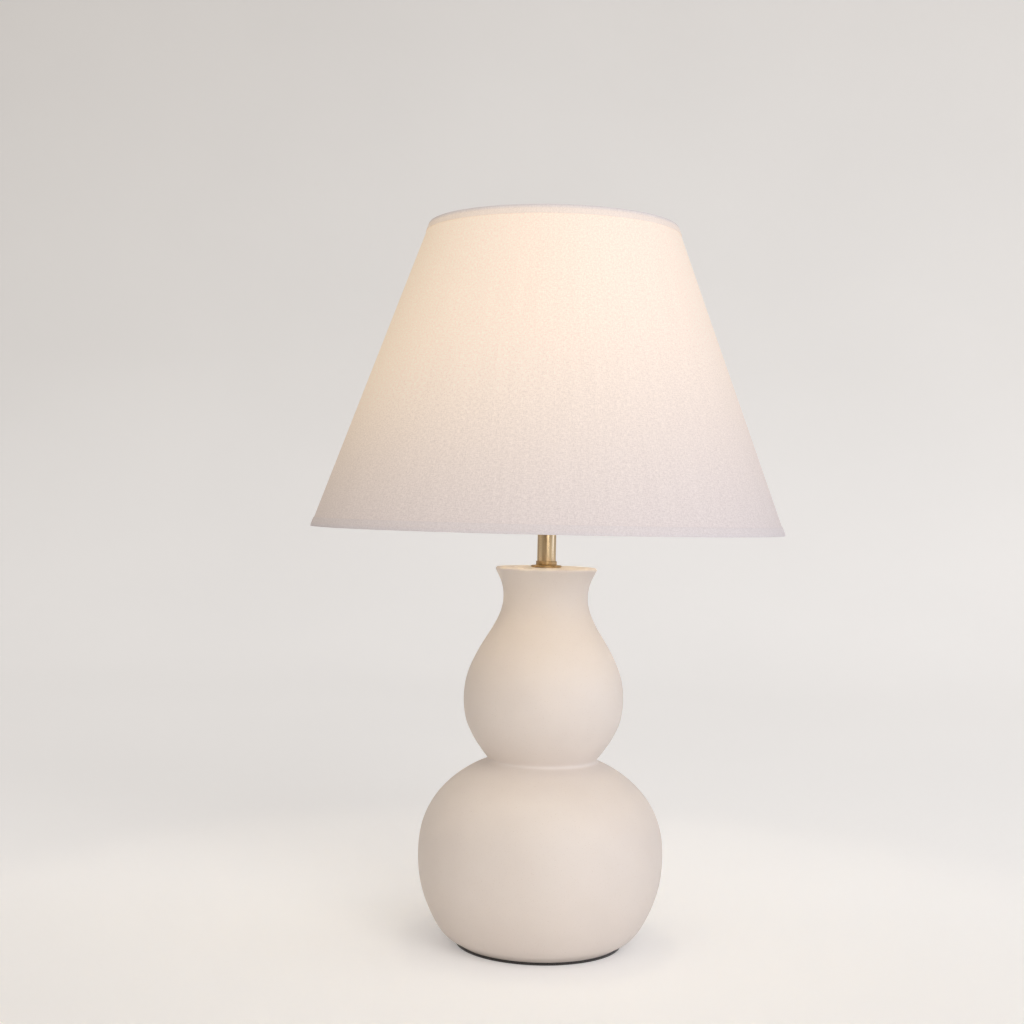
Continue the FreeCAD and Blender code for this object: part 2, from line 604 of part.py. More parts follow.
# The housing flares in two steps; the knee is at these shares of its spread and of its height.
HOUSING_KNEE = (0.45, 0.35)
turned("bulb_housing", (
    ("0", "housing_level"), ("housing_base", "housing_level"),
    ("housing_base + %g * (housing_radius - housing_base)" % HOUSING_KNEE[0],
     "housing_level + %g * housing_height" % HOUSING_KNEE[1]),
    ("housing_radius", "board_level"), ("0", "board_level")))
turned("led_board", (("0", "board_level"), ("board_radius", "board_level"),
                     ("board_radius", "board_level + board_thickness"),
                     ("0", "board_level + board_thickness")))

# Half way up its side the globe has gained this share of the way from its mouth to its equator.
GLOBE_BULGE = 0.78
globe = document.addObject("PartDesign::Body", "bulb_globe")
globe_outline = new_sketch(globe, "globe_outline")
centre = value("globe_level")
globe_low = value("board_level")


def globe_skin(inset):
    """Side and dome of the globe, drawn in by an inset, from its mouth to its top."""
    radius = value("globe_radius") - inset
    mouth = Vector(value("housing_radius") - inset, globe_low, 0)
    bulge = Vector(mouth.x + GLOBE_BULGE * (radius - mouth.x), (globe_low + centre) / 2, 0)
    equator = Vector(radius, centre, 0)
    side = Part.Arc(mouth, bulge, equator)
    dome = Part.Arc(equator, Vector(radius * round_share, centre + radius * round_share, 0),
                    Vector(0, centre + radius, 0))
    return side, dome, mouth, Vector(0, centre + radius, 0)


outer_side, outer_dome, outer_mouth, outer_top = globe_skin(0)
inner_side, inner_dome, inner_mouth, inner_top = globe_skin(value("globe_wall"))
for edge in (outer_side, outer_dome, Part.LineSegment(outer_top, inner_top), inner_dome, inner_side,
             Part.LineSegment(inner_mouth, outer_mouth)):
    globe_outline.addGeometry(edge, False)
revolve(globe, globe_outline)
register(globe, "bulb_globe")

# Shade: laminated linen on two wire rings, each rim bound with a narrow trim.
def cone(inset, height):
    """The shade's outer radius at a height, less an inset."""
    return "(shade_bottom_radius - shade_slope * (%s - shade_level) - (%s))" % (height, inset)


COVER_INSIDE = "cover_skin + cover_thickness"
turned("shade_cover", (
    (cone("cover_skin", "cover_level"), "cover_level"),
    (cone("cover_skin", "cover_top_level"), "cover_top_level"),
    (cone(COVER_INSIDE, "cover_top_level"), "cover_top_level"),
    (cone(COVER_INSIDE, "cover_level"), "cover_level")))
TRIM_INSIDE = "trim_thickness + cover_thickness"
for name, rim, edge, leg_end in (
        ("bottom_trim", "shade_level", "shade_level + trim_thickness", "shade_level + trim_height"),
        ("top_trim", "shade_top_level", "shade_top_level - trim_thickness",
         "shade_top_level - trim_height")):
    turned(name, (
        (cone("0", rim), rim), (cone("0", leg_end), leg_end), (cone("trim_thickness", leg_end), leg_end),
        (cone("trim_thickness", edge), edge), (cone(TRIM_INSIDE, edge), edge),
        (cone(TRIM_INSIDE, rim), rim)))
for name, height in (("bottom_ring", "bottom_ring_level"), ("top_ring", "top_ring_level")):
    ring = lift(primitive("Part::Torus", name, Radius1=cone("ring_offset", height), Radius2="ring_wire"),
                height)
    register(ring, name)

turned("spider_hub", tube_section("hub_plate_radius", "hub_hole", "hub_level", "hub_top_level"))

arm_start = (value("hub_plate_radius + fit_clearance"), value("hub_level + hub_plate / 2"))
arm_reach = cone("ring_offset + ring_wire + fit_clearance", "top_ring_level")
arm_end = (value(arm_reach), value("top_ring_level"))
arm_run = Vector(arm_end[0] - arm_start[0], 0, arm_end[1] - arm_start[1])
arms = []
for number in range(int(value("arm_count"))):
    turn = Rotation(Vector(0, 0, 1), 90 + number * 360 / int(value("arm_count")))
    arm = primitive("Part::Cylinder", "arm", Radius="arm_radius")
    arm.Height = arm_run.Length
    arm.Placement = FreeCAD.Placement(turn.multVec(Vector(arm_start[0], 0, arm_start[1])),
                                      turn.multiply(Rotation(Vector(0, 0, 1), arm_run)))
    arms.append(arm)
spider = document.addObject("Part::Compound", "spider_arms")
spider.Links = arms
register(spider, "spider_arms")

# Finial: a turned brass ball on a flared foot, threaded on the stud.
finial = document.addObject("PartDesign::Body", "finial")
finial_outline = new_sketch(finial, "finial_outline")
base_height = value("finial_level")
top_height = base_height + value("finial_height")
ball = value("finial_ball")
ball_height = top_height - ball
bore = value("finial_bore")
neck_point = (value("finial_neck"), base_height + value("finial_waist"))
ball_start_angle = math.asin(value("finial_neck") / ball)
ball_start = (value("finial_neck"), ball_height - ball * math.cos(ball_start_angle))
bore_top = base_height + value("finial_bore_depth")
foot_top = (value("finial_base"), base_height + value("finial_foot"))
for edge in (
        run((bore, base_height), (value("finial_base"), base_height)),
        run((value("finial_base"), base_height), foot_top),
        run(foot_top, neck_point),
        run(neck_point, ball_start),
        Part.Arc(Vector(ball_start[0], ball_start[1], 0), Vector(ball, ball_height, 0),
                 Vector(0, top_height, 0)),
        run((0, top_height), (0, bore_top)),
        run((0, bore_top), (bore, bore_top)),
        run((bore, bore_top), (bore, base_height))):
    finial_outline.addGeometry(edge, False)
revolve(finial, finial_outline)
register(finial, "finial")

document.recompute()

for item in document.Objects:
    if "Invalid" in item.State or "Error" in item.State:
        raise RuntimeError("%s failed: %s" % (item.Label, item.State))
for piece in nodes:
    if piece.Shape.isNull() or not piece.Shape.isValid():
        raise RuntimeError("%s has no valid shape" % piece.Label)

os.makedirs("parts", exist_ok=True)
for piece in nodes:
    piece.Shape.exportStep("parts/%s.step" % piece.Label)
    box = piece.Shape.BoundBox
    print("%-16s %9.1f mm3  x %7.2f %7.2f  y %7.2f %7.2f  z %7.2f %7.2f  solids %d" % (
        piece.Label, piece.Shape.Volume, box.XMin, box.XMax, box.YMin, box.YMax, box.ZMin, box.ZMax,
        len(piece.Shape.Solids)))
print(len(nodes), "nodes")
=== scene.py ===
import math

import bmesh
import bpy
import numpy as np
from mathutils import Matrix, Vector


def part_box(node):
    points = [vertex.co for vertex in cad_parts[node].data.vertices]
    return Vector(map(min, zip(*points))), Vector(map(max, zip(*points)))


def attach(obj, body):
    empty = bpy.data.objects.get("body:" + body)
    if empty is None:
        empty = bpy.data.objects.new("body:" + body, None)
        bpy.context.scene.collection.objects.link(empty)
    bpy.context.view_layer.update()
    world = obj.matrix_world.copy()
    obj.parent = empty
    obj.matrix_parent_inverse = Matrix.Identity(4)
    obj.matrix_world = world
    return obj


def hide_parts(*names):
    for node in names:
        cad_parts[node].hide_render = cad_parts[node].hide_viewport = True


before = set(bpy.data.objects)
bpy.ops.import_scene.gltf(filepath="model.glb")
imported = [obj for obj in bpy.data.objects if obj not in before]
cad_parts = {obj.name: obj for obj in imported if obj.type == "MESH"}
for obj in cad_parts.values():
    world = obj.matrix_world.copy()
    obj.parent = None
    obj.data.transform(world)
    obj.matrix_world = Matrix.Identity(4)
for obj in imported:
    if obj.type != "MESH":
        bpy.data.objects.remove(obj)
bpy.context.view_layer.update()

MM = 0.001

# ---------------------------------------------------------------- base pad
# A disc of dark grey felt, glued under the ceramic foot so that the lamp doesn't scratch a table.
# It is a little smaller than the foot and shows as a thin dark line.
AT_AXIS = 1e-7  # a point nearer to the axis than this is on it


def link(name, data):
    """A new object with this mesh, lamp or camera, at the origin."""
    piece = bpy.data.objects.new(name, data)
    bpy.context.scene.collection.objects.link(piece)
    return piece


def soft_corners(outline, radius, steps=3):
    """The outline with sharp corners rounded by up to radius, less where its sides are short."""
    count, softened = len(outline), []
    for index in range(count):
        before, corner, after = (Vector(outline[(index + shift) % count]) for shift in (-1, 0, 1))
        back, ahead = before - corner, after - corner
        if corner.x < AT_AXIS or not back.length or not ahead.length:
            softened.append(tuple(corner))
            continue
        reach = min(radius, 0.45 * back.length, 0.45 * ahead.length)
        start, end = corner + back.normalized() * reach, corner + ahead.normalized() * reach
        for step in range(steps + 1):
            along = step / steps
            softened.append(tuple((1 - along) ** 2 * start + 2 * along * (1 - along) * corner
                                  + along ** 2 * end))
    return softened


def smoothed(name, shape, sharp):
    """A piece from a worked shape, smooth but for edges sharper than an angle in degrees."""
    bmesh.ops.recalc_face_normals(shape, faces=shape.faces[:])
    for face in shape.faces:
        face.smooth = True
    mesh = bpy.data.meshes.new(name)
    shape.to_mesh(mesh)
    shape.free()
    mesh.set_sharp_from_angle(angle=math.radians(sharp))
    return link(name, mesh)


def lathe(name, outline, segments=96, soft=0.0):
    """A piece turned about Z from a closed outline of (radius, height) in metres."""
    points = soft_corners(outline, soft) if soft else list(outline)
    angles = [2 * math.pi * index / segments for index in range(segments)]
    shape = bmesh.new()
    rings = []
    for radius, height in points:
        if radius < AT_AXIS:
            rings.append([shape.verts.new((0, 0, height))])
        else:
            rings.append([shape.verts.new((radius * math.cos(a), radius * math.sin(a), height))
                          for a in angles])
    for low, high in zip(rings, rings[1:] + rings[:1]):
        if len(low) == 1 and len(high) == 1:
            continue
        for index in range(segments):
            after = (index + 1) % segments
            corners = [low[index % len(low)], low[after % len(low)],
                       high[after % len(high)], high[index % len(high)]]
            unique = list(dict.fromkeys(corners))
            if len(unique) > 2:
                shape.faces.new(unique)
    return smoothed(name, shape, 38)


def finish(name):
    """A new node material; gives its nodes, a linker and its surface shader."""
    material = bpy.data.materials.new(name)
    material.use_nodes = True
    tree = material.node_tree
    shader = tree.nodes["Principled BSDF"]
    return material, tree.nodes, tree.links.new, shader


def add(nodes, kind, **inputs):
    """A node of a kind, with its inputs set by name, spaces as underscores."""
    node = nodes.new(kind)
    for name, value in inputs.items():
        node.inputs[name.replace("_", " ")].default_value = value
    return node


def place(nodes, new_link, stretch=(1, 1, 1)):
    """Object coordinates, stretched per axis."""
    where = nodes.new("ShaderNodeTexCoord")
    mapping = add(nodes, "ShaderNodeMapping", Scale=stretch)
    new_link(where.outputs["Object"], mapping.inputs["Vector"])
    return mapping.outputs["Vector"]


def tones(nodes, new_link, factor, stops):
    """A colour ramp through (position, colour) stops."""
    ramp = nodes.new("ShaderNodeValToRGB")
    ramp.color_ramp.elements[0].position, ramp.color_ramp.elements[0].color = stops[0]
    ramp.color_ramp.elements[1].position, ramp.color_ramp.elements[1].color = stops[-1]
    for position, colour in stops[1:-1]:
        ramp.color_ramp.elements.new(position).color = colour
    new_link(factor, ramp.inputs["Fac"])
    return ramp.outputs["Color"]


def relief(nodes, new_link, height, shader, strength, depth, under=None):
    """A bump of a depth in metres, optionally over another."""
    bump = add(nodes, "ShaderNodeBump", Strength=strength, Distance=depth)
    new_link(height, bump.inputs["Height"])
    if under:
        new_link(under, bump.inputs["Normal"])
    new_link(bump.outputs["Normal"], shader.inputs["Normal"])
    return bump.outputs["Normal"]


def rgb(red, green, blue):
    """A linear colour from 0 to 255 screen values."""
    def linear(level):
        share = level / 255
        return share / 12.92 if share <= 0.04045 else ((share + 0.055) / 1.055) ** 2.4
    return (linear(red), linear(green), linear(blue), 1)


def felt_finish():
    """Dark pressed felt with fine fibres."""
    material, nodes, new_link, shader = finish("dark_felt")
    fibres = add(nodes, "ShaderNodeTexNoise", Scale=900.0, Detail=6.0, Roughness=0.7)
    new_link(place(nodes, new_link, (1, 1, 0.35)), fibres.inputs["Vector"])
    new_link(tones(nodes, new_link, fibres.outputs["Fac"],
                   [(0.3, rgb(38, 36, 36)), (0.7, rgb(66, 62, 60))]), shader.inputs["Base Color"])
    relief(nodes, new_link, fibres.outputs["Fac"], shader, 0.8, 0.4 * MM)
    shader.inputs["Roughness"].default_value = 0.95
    shader.inputs["Sheen Weight"].default_value = 0.4
    return material


pad_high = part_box("base_pad")[1]
pad_radius, pad_top, pad_edge = pad_high[0], pad_high[2], 0.4 * MM
pad = lathe("felt_pad", [(0, 0), (pad_radius, 0), (pad_radius, pad_top), (0, pad_top)],
            segments=160, soft=pad_edge)
pad.data.materials.append(felt_finish())
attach(pad, "base")
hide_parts("base_pad")

# ---------------------------------------------------------------- ceramic body
# Two round swells with a soft crease between them, a drawn neck and a flared lip under a flat top.
# It is cast stoneware, fired and left matt, with a fine dry grain and faint turning rings. The rod
# through it clamps it, and it stands on the pad.
foot_radius, foot_height, foot_edge = 62 * MM, 2 * MM, 1.2 * MM
# Each station is (radius, height).
belly = (90.7 * MM, 67.5 * MM)
waist = (39.6 * MM, 136.2 * MM)
swell = (59.3 * MM, 181.5 * MM)
neck = (31.4 * MM, 256.3 * MM)
lip_radius, lip_top, lip_edge = 37.6 * MM, 279 * MM, 1.6 * MM
crease_reach = 3 * MM
# Between two stations: how far along, and the share of the wider one's extra radius that is left.
# In the flare it is the share that is reached.
belly_below = ((0.3, 0.944), (0.5, 0.823), (0.7, 0.63), (0.85, 0.43), (0.94, 0.24))
belly_above = ((0.3, 0.949), (0.5, 0.837), (0.7, 0.634), (0.85, 0.391), (0.94, 0.183))
swell_below = ((0.27, 0.941), (0.40, 0.862), (0.53, 0.729), (0.66, 0.569), (0.79, 0.367),
               (0.92, 0.149))
shoulder = ((0.245, 0.907), (0.404, 0.731), (0.563, 0.498), (0.683, 0.297), (0.802, 0.129),
            (0.921, 0.023))
flare_rise = ((0.35, 0.10), (0.65, 0.42), (0.85, 0.75))


def between(wide, narrow, shares):
    """Points from a wide station to a narrow one, by their shares."""
    return [(narrow[0] + left * (wide[0] - narrow[0]), wide[1] + along * (narrow[1] - wide[1]))
            for along, left in shares]


def smooth_line(points, per_span):
    """A natural cubic spline through the points, by chord length, sampled evenly in each span."""
    stations = np.array(points)
    chords = np.hypot(*np.diff(stations, axis=0).T)
    knots = np.concatenate(([0], np.cumsum(chords)))
    count = len(knots)
    system, right = np.eye(count), np.zeros((count, 2))
    for index in range(1, count - 1):
        left_chord, right_chord = chords[index - 1], chords[index]
        system[index, index - 1:index + 2] = left_chord, 2 * (left_chord + right_chord), right_chord
        right[index] = 6 * ((stations[index + 1] - stations[index]) / right_chord
                            - (stations[index] - stations[index - 1]) / left_chord)
    bend = np.linalg.solve(system, right)
    line = [tuple(stations[0])]
    for index, chord in enumerate(chords):
        for step in range(1, per_span + 1):
            b = step / per_span
            a = 1 - b
            line.append(tuple(a * stations[index] + b * stations[index + 1]
                              + ((a ** 3 - a) * bend[index] + (b ** 3 - b) * bend[index + 1])
                              * chord ** 2 / 6))
    return line


def toward(start, end, distance):
    """The point at a distance from start on the way to end."""
    share = distance / math.dist(start, end)
    return tuple(a + share * (b - a) for a, b in zip(start, end))


foot = (foot_radius, foot_height + foot_edge)
lip = (lip_radius, lip_top - lip_edge)
lower = ([foot] + between(belly, foot, belly_below)[::-1] + [belly]
         + between(belly, waist, belly_above))
flare = [(neck[0] + share * (lip[0] - neck[0]), neck[1] + along * (lip[1] - neck[1]))
         for along, share in flare_rise]
upper = (between(swell, waist, swell_below)[::-1] + [swell] + between(swell, neck, shoulder)
         + [neck] + flare + [lip])
crease_low = toward(waist, lower[-1], crease_reach)
crease_high = toward(waist, upper[0], crease_reach)
crease = [tuple((1 - t) ** 2 * a + 2 * t * (1 - t) * b + t ** 2 * c
                for a, b, c in zip(crease_low, waist, crease_high)) for t in (0.2, 0.4, 0.6, 0.8)]
rod_hole, top_flat = 5.6 * MM, 17.6 * MM
recess_radius, recess_top = 50 * MM, 20 * MM
rim = [(lip_radius - lip_edge + lip_edge * math.cos(math.radians(a)),
        lip[1] + lip_edge * math.sin(math.radians(a))) for a in (15, 30, 45, 60, 75, 90)]
body_outline = ([(rod_hole, recess_top), (recess_radius, recess_top), (recess_radius, foot_height),
                 (foot_radius - foot_edge, foot_height)]
                + smooth_line(lower + [crease_low], per_span=5) + crease
                + smooth_line([crease_high] + upper, per_span=5) + rim
                + [(top_flat, lip_top), (rod_hole, lip_top)])
gourd = lathe("ceramic_gourd", body_outline, segments=180)


def bore_out(piece, radius, near, far, height):
    """A round hole through a piece's back, along +Y."""
    cutter = bpy.data.meshes.new("cutter")
    shape = bmesh.new()
    turn = Matrix.Translation((0, (near + far) / 2, height)) @ Matrix.Rotation(math.pi / 2, 4, "X")
    bmesh.ops.create_cone(shape, cap_ends=True, segments=40, radius1=radius, radius2=radius,
                          depth=far - near, matrix=turn)
    shape.to_mesh(cutter)
    shape.free()
    tool = link("cutter", cutter)
    hole = piece.modifiers.new("hole", "BOOLEAN")
    hole.operation, hole.solver, hole.object = "DIFFERENCE", "EXACT", tool
    bpy.context.view_layer.update()
    worked = piece.evaluated_get(bpy.context.evaluated_depsgraph_get())
    drilled = bpy.data.meshes.new_from_object(worked)
    piece.modifiers.remove(hole)
    piece.data = drilled
    bpy.data.objects.remove(tool)


cord_height, cord_hole, spot_radius, spot_start = 11 * MM, 4.3 * MM, 6.5 * MM, 63.6 * MM
inside_recess, outside_body = recess_radius - 8 * MM, 100 * MM
bore_out(gourd, cord_hole, inside_recess, outside_body, cord_height)
bore_out(gourd, spot_radius, spot_start, outside_body, cord_height)


def bisque_finish():
    """Pale fired clay with clouds of tone, fine specks, turning rings and a dry grain."""
    material, nodes, new_link, shader = finish("matt_bisque")
    where = place(nodes, new_link)
    cloud = add(nodes, "ShaderNodeTexNoise", Scale=14.0, Detail=3.0, Roughness=0.55)
    new_link(where, cloud.inputs["Vector"])
    clay = tones(nodes, new_link, cloud.outputs["Fac"],
                 [(0.25, rgb(226, 215, 208)), (0.55, rgb(230, 220, 213)),
                  (0.8, rgb(233, 223, 217))])
    speck = add(nodes, "ShaderNodeTexNoise", Scale=1500.0, Detail=2.0, Roughness=0.6)
    new_link(where, speck.inputs["Vector"])
    dots = tones(nodes, new_link, speck.outputs["Fac"],
                 [(0.26, rgb(214, 201, 190)), (0.34, (1, 1, 1, 1))])
    mixed = nodes.new("ShaderNodeMix")
    mixed.data_type, mixed.blend_type = "RGBA", "MULTIPLY"
    mixed.inputs["Factor"].default_value = 0.55
    new_link(clay, mixed.inputs["A"])
    new_link(dots, mixed.inputs["B"])
    new_link(mixed.outputs["Result"], shader.inputs["Base Color"])
    turning = add(nodes, "ShaderNodeTexNoise", Scale=1.0, Detail=3.0, Roughness=0.5)
    new_link(place(nodes, new_link, (6, 6, 260)), turning.inputs["Vector"])
    grain = add(nodes, "ShaderNodeTexNoise", Scale=700.0, Detail=5.0, Roughness=0.65)
    new_link(where, grain.inputs["Vector"])
    rings = relief(nodes, new_link, turning.outputs["Fac"], shader, 0.25, 0.25 * MM)
    relief(nodes, new_link, grain.outputs["Fac"], shader, 0.35, 0.12 * MM, under=rings)
    dryness = nodes.new("ShaderNodeMapRange")
    dryness.inputs["To Min"].default_value, dryness.inputs["To Max"].default_value = 0.46, 0.6
    new_link(cloud.outputs["Fac"], dryness.inputs["Value"])
    new_link(dryness.outputs["Result"], shader.inputs["Roughness"])
    shader.inputs["Specular IOR Level"].default_value = 0.5
    return material


gourd.data.materials.clear()
gourd.data.materials.append(bisque_finish())
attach(gourd, "base")
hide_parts("gourd_body")

# ---------------------------------------------------------------- cord bushing
# A pale moulded grommet, pushed into the hole at the back of the foot, where a cord would leave.
# Its flange lies in a flat spot that is cut into the ceramic.
bushing_bore, bushing_radius, flange_radius = 3.0 * MM, 4.2 * MM, 6.4 * MM
bushing_start, flange_start, flange_end = recess_radius, spot_start, 65.4 * MM


def moulded_finish(name, dark, light, roughness):
    """A moulded or coated surface with a faint mottle."""
    material, nodes, new_link, shader = finish(name)
    skin = add(nodes, "ShaderNodeTexNoise", Scale=420.0, Detail=4.0, Roughness=0.6)
    new_link(place(nodes, new_link), skin.inputs["Vector"])
    new_link(tones(nodes, new_link, skin.outputs["Fac"], [(0.3, dark), (0.7, light)]),
             shader.inputs["Base Color"])
    relief(nodes, new_link, skin.outputs["Fac"], shader, 0.2, 0.1 * MM)
    shader.inputs["Roughness"].default_value = roughness
    return material


def turned_to(piece, matrix):
    """Lay a turned piece in its place, in its mesh."""
    piece.data.transform(matrix)
    return piece


bushing = lathe("cord_grommet", [
    (bushing_bore, bushing_start), (bushing_radius, bushing_start), (bushing_radius, flange_start),
    (flange_radius, flange_start), (flange_radius, flange_end), (bushing_bore, flange_end)],
    segments=48, soft=0.6 * MM)
to_back = Matrix.Rotation(-math.pi / 2, 4, "X")
turned_to(bushing, Matrix.Translation((0, 0, cord_height)) @ to_back)
bushing.data.materials.append(
    moulded_finish("pale_moulding", rgb(214, 206, 196), rgb(224, 217, 208), roughness=0.45))
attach(bushing, "base")
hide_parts("cord_bushing")

# ---------------------------------------------------------------- rod and base fasteners
# A hollow threaded rod runs from the foot to the socket cap. A washer, a toothed lock washer and a
# hex nut under the ceramic floor pull the whole stack together. All are zinc plated steel.


def metal_finish(name, dark, light, roughness, streak=(1, 1, 1), scale=260.0):
    """Metal with a light patina; where it is paler it is also a little rougher."""
    material, nodes, new_link, shader = finish(name)
    patina = add(nodes, "ShaderNodeTexNoise", Scale=scale, Detail=5.0, Roughness=0.6)
    new_link(place(nodes, new_link, streak), patina.inputs["Vector"])
    new_link(tones(nodes, new_link, patina.outputs["Fac"], [(0.3, dark), (0.72, light)]),
             shader.inputs["Base Color"])
    gloss = nodes.new("ShaderNodeMapRange")
    gloss.inputs["To Min"].default_value = 0.75 * roughness
    gloss.inputs["To Max"].default_value = 1.25 * roughness
    new_link(patina.outputs["Fac"], gloss.inputs["Value"])
    new_link(gloss.outputs["Result"], shader.inputs["Roughness"])
    relief(nodes, new_link, patina.outputs["Fac"], shader, 0.12, 0.05 * MM)
    shader.inputs["Metallic"].default_value = 1.0
    return material


def dress(material, *kept):
    """Give a finish to pieces that keep their constructed shape."""
    for node in kept:
        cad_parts[node].material_slots[0].material = material


zinc = metal_finish("zinc_plate", rgb(150, 150, 150), rgb(196, 196, 194), roughness=0.34)
dress(zinc, "base_washer", "lock_washer", "base_nut")


def threaded(name, low, high, outer, depth, pitch, bore, segments):
    """A hollow screw: a helical ridge between two heights, closed at both ends."""
    rows_per_turn = 6
    rows = int((high - low) / pitch * rows_per_turn)
    angles = [2 * math.pi * index / segments for index in range(segments)]
    shape = bmesh.new()
    grid = []
    for row in range(rows + 1):
        height = low + (high - low) * row / rows
        ring = []
        for index, angle in enumerate(angles):
            phase = (height / pitch - index / segments) % 1.0
            radius = outer - depth * (0.5 + 0.5 * math.cos(2 * math.pi * phase))
            ring.append(shape.verts.new((radius * math.cos(angle), radius * math.sin(angle),
                                         height)))
        grid.append(ring)
    for height in (high, low):
        grid.append([shape.verts.new((bore * math.cos(angle), bore * math.sin(angle), height))
                     for angle in angles])
    for below, above in zip(grid, grid[1:] + grid[:1]):
        for index in range(segments):
            after = (index + 1) % segments
            shape.faces.new((below[index], below[after], above[after], above[index]))
    return smoothed(name, shape, 60)


rod_low, rod_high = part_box("threaded_rod")
rod_thread, rod_pitch, rod_bore = 0.5 * MM, 0.94 * MM, 3.4 * MM
rod = threaded("hollow_rod", rod_low[2], rod_high[2], rod_high[0], rod_thread, rod_pitch,
               rod_bore, segments=32)
rod.data.materials.append(zinc)
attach(rod, "base")
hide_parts("threaded_rod")

# ---------------------------------------------------------------- brass neck
# A flat check ring on the ceramic top, a smooth tube standing on it and a low collar round the
# tube's foot. They are spun and drawn brass, brushed and then darkened to an antique tone, and the
# rod inside holds them down.
brass = metal_finish("antique_brass", rgb(134, 106, 72), rgb(230, 206, 168), roughness=0.22,
                     streak=(1, 1, 0.02), scale=330.0)
spun_brass = metal_finish("spun_brass", rgb(150, 121, 82), rgb(198, 168, 124), roughness=0.3,
                          scale=300.0)
rod_clearance = 5.15 * MM
check_radius, check_top = 11.3 * MM, 280.6 * MM
tube_bore, tube_radius, tube_top = 6.2 * MM, 7.0 * MM, 341 * MM
collar_bore, collar_radius, collar_top = 7.05 * MM, 7.8 * MM, check_top + 3 * MM


def washer_outline(bore, radius, low, high):
    """The outline of a flat ring or a tube between two heights."""
    return [(bore, low), (radius, low), (radius, high), (bore, high)]


check = lathe("check_ring_disc", washer_outline(rod_clearance, check_radius, lip_top, check_top),
              soft=0.5 * MM)
collar = lathe("seating_collar", washer_outline(collar_bore, collar_radius, check_top, collar_top),
               soft=0.3 * MM)
tube = lathe("drawn_neck_tube", washer_outline(tube_bore, tube_radius, check_top, tube_top),
             soft=0.2 * MM)
for piece, node, metal in ((check, "check_ring", spun_brass), (collar, "tube_collar", spun_brass),
                           (tube, "neck_tube", brass)):
    piece.data.materials.append(metal)
    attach(piece, "base")
    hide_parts(node)

# ---------------------------------------------------------------- harp saddle
# A brass plated steel strip, bent up at both ends, with a peg on each arm for the harp's legs. It is
# clamped between the neck tube and the socket.
dress(spun_brass, "harp_saddle")

# ---------------------------------------------------------------- socket
# A spun brass cap and shell round a fibre liner. Inside is a dark moulded block with two terminal
# screws, the rolled screw shell that takes the bulb and a sprung contact.
socket_low, cap_radius, cap_wall = 343 * MM, 17.2 * MM, 0.7 * MM
hub_radius, hub_top, cap_top = 7.5 * MM, socket_low + 5 * MM, socket_low + 22 * MM
cap = lathe("spun_socket_cap", [
    (rod_clearance, socket_low), (hub_radius, socket_low), (hub_radius, hub_top),
    (11.5 * MM, socket_low + 6.2 * MM), (15.4 * MM, socket_low + 8.2 * MM),
    (cap_radius, socket_low + 11.2 * MM), (cap_radius, cap_top), (cap_radius - cap_wall, cap_top),
    (cap_radius - cap_wall, socket_low + 11.4 * MM), (14.9 * MM, socket_low + 8.9 * MM),
    (11.2 * MM, socket_low + 6.9 * MM), (7.2 * MM, hub_top + cap_wall),
    (rod_clearance, hub_top + cap_wall)], soft=0.6 * MM)
cap.data.materials.append(spun_brass)
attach(cap, "base")
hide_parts("socket_cap")
shell_low, shell_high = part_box("socket_shell")
shell_start, shell_top = shell_low[2], shell_high[2]
shell_outer, shell_wall = 16.4 * MM, 0.5 * MM
shell_inner = shell_outer - shell_wall
bead, bead_drop = 0.35 * MM, 8 * MM
shell = lathe("drawn_socket_shell", [
    (shell_inner, shell_start), (shell_outer, shell_start), (shell_outer, shell_top - 9 * MM),
    (shell_outer - bead, shell_top - bead_drop), (shell_outer, shell_top - 7 * MM),
    (shell_outer, shell_top - 0.8 * MM), (shell_outer - shell_wall / 2, shell_top),
    (shell_inner, shell_top), (shell_inner, shell_top - 6.6 * MM),
    (shell_inner - bead, shell_top - bead_drop), (shell_inner, shell_top - 9.4 * MM)])
# The switch's hole is drilled from the back and then turned to the front.
switch_height, shaft_hole = 370 * MM, 2.6 * MM
bore_out(shell, shaft_hole, 5 * MM, 30 * MM, switch_height)
turned_to(shell, Matrix.Rotation(math.pi, 4, "Z"))
shell.data.materials.clear()
shell.data.materials.append(spun_brass)
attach(shell, "base")
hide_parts("socket_shell")
fibre = moulded_finish("vulcanised_fibre", rgb(150, 136, 112), rgb(178, 164, 138), roughness=0.8)
phenolic = moulded_finish("dark_phenolic", rgb(26, 20, 17), rgb(44, 34, 28), roughness=0.38)
nickel = metal_finish("rolled_nickel", rgb(178, 176, 170), rgb(214, 212, 206), roughness=0.28,
                      scale=180.0)
dress(fibre, "cap_disc", "shell_liner")
dress(phenolic, "socket_body")
dress(zinc, "terminal_screws")
dress(nickel, "screw_shell")
dress(spun_brass, "centre_contact")

# ---------------------------------------------------------------- switch
# A steel shaft through the shell's side and a ribbed phenolic knob pressed on it, turned by finger
# and thumb. The ribs stand round the grip.
knob_start, knob_end, grip = 25.95 * MM, 37.95 * MM, 6 * MM
knob_waist, knob_radius = 4.4 * MM, 5.6 * MM
ribs, rib_half = 16, 0.75 * MM


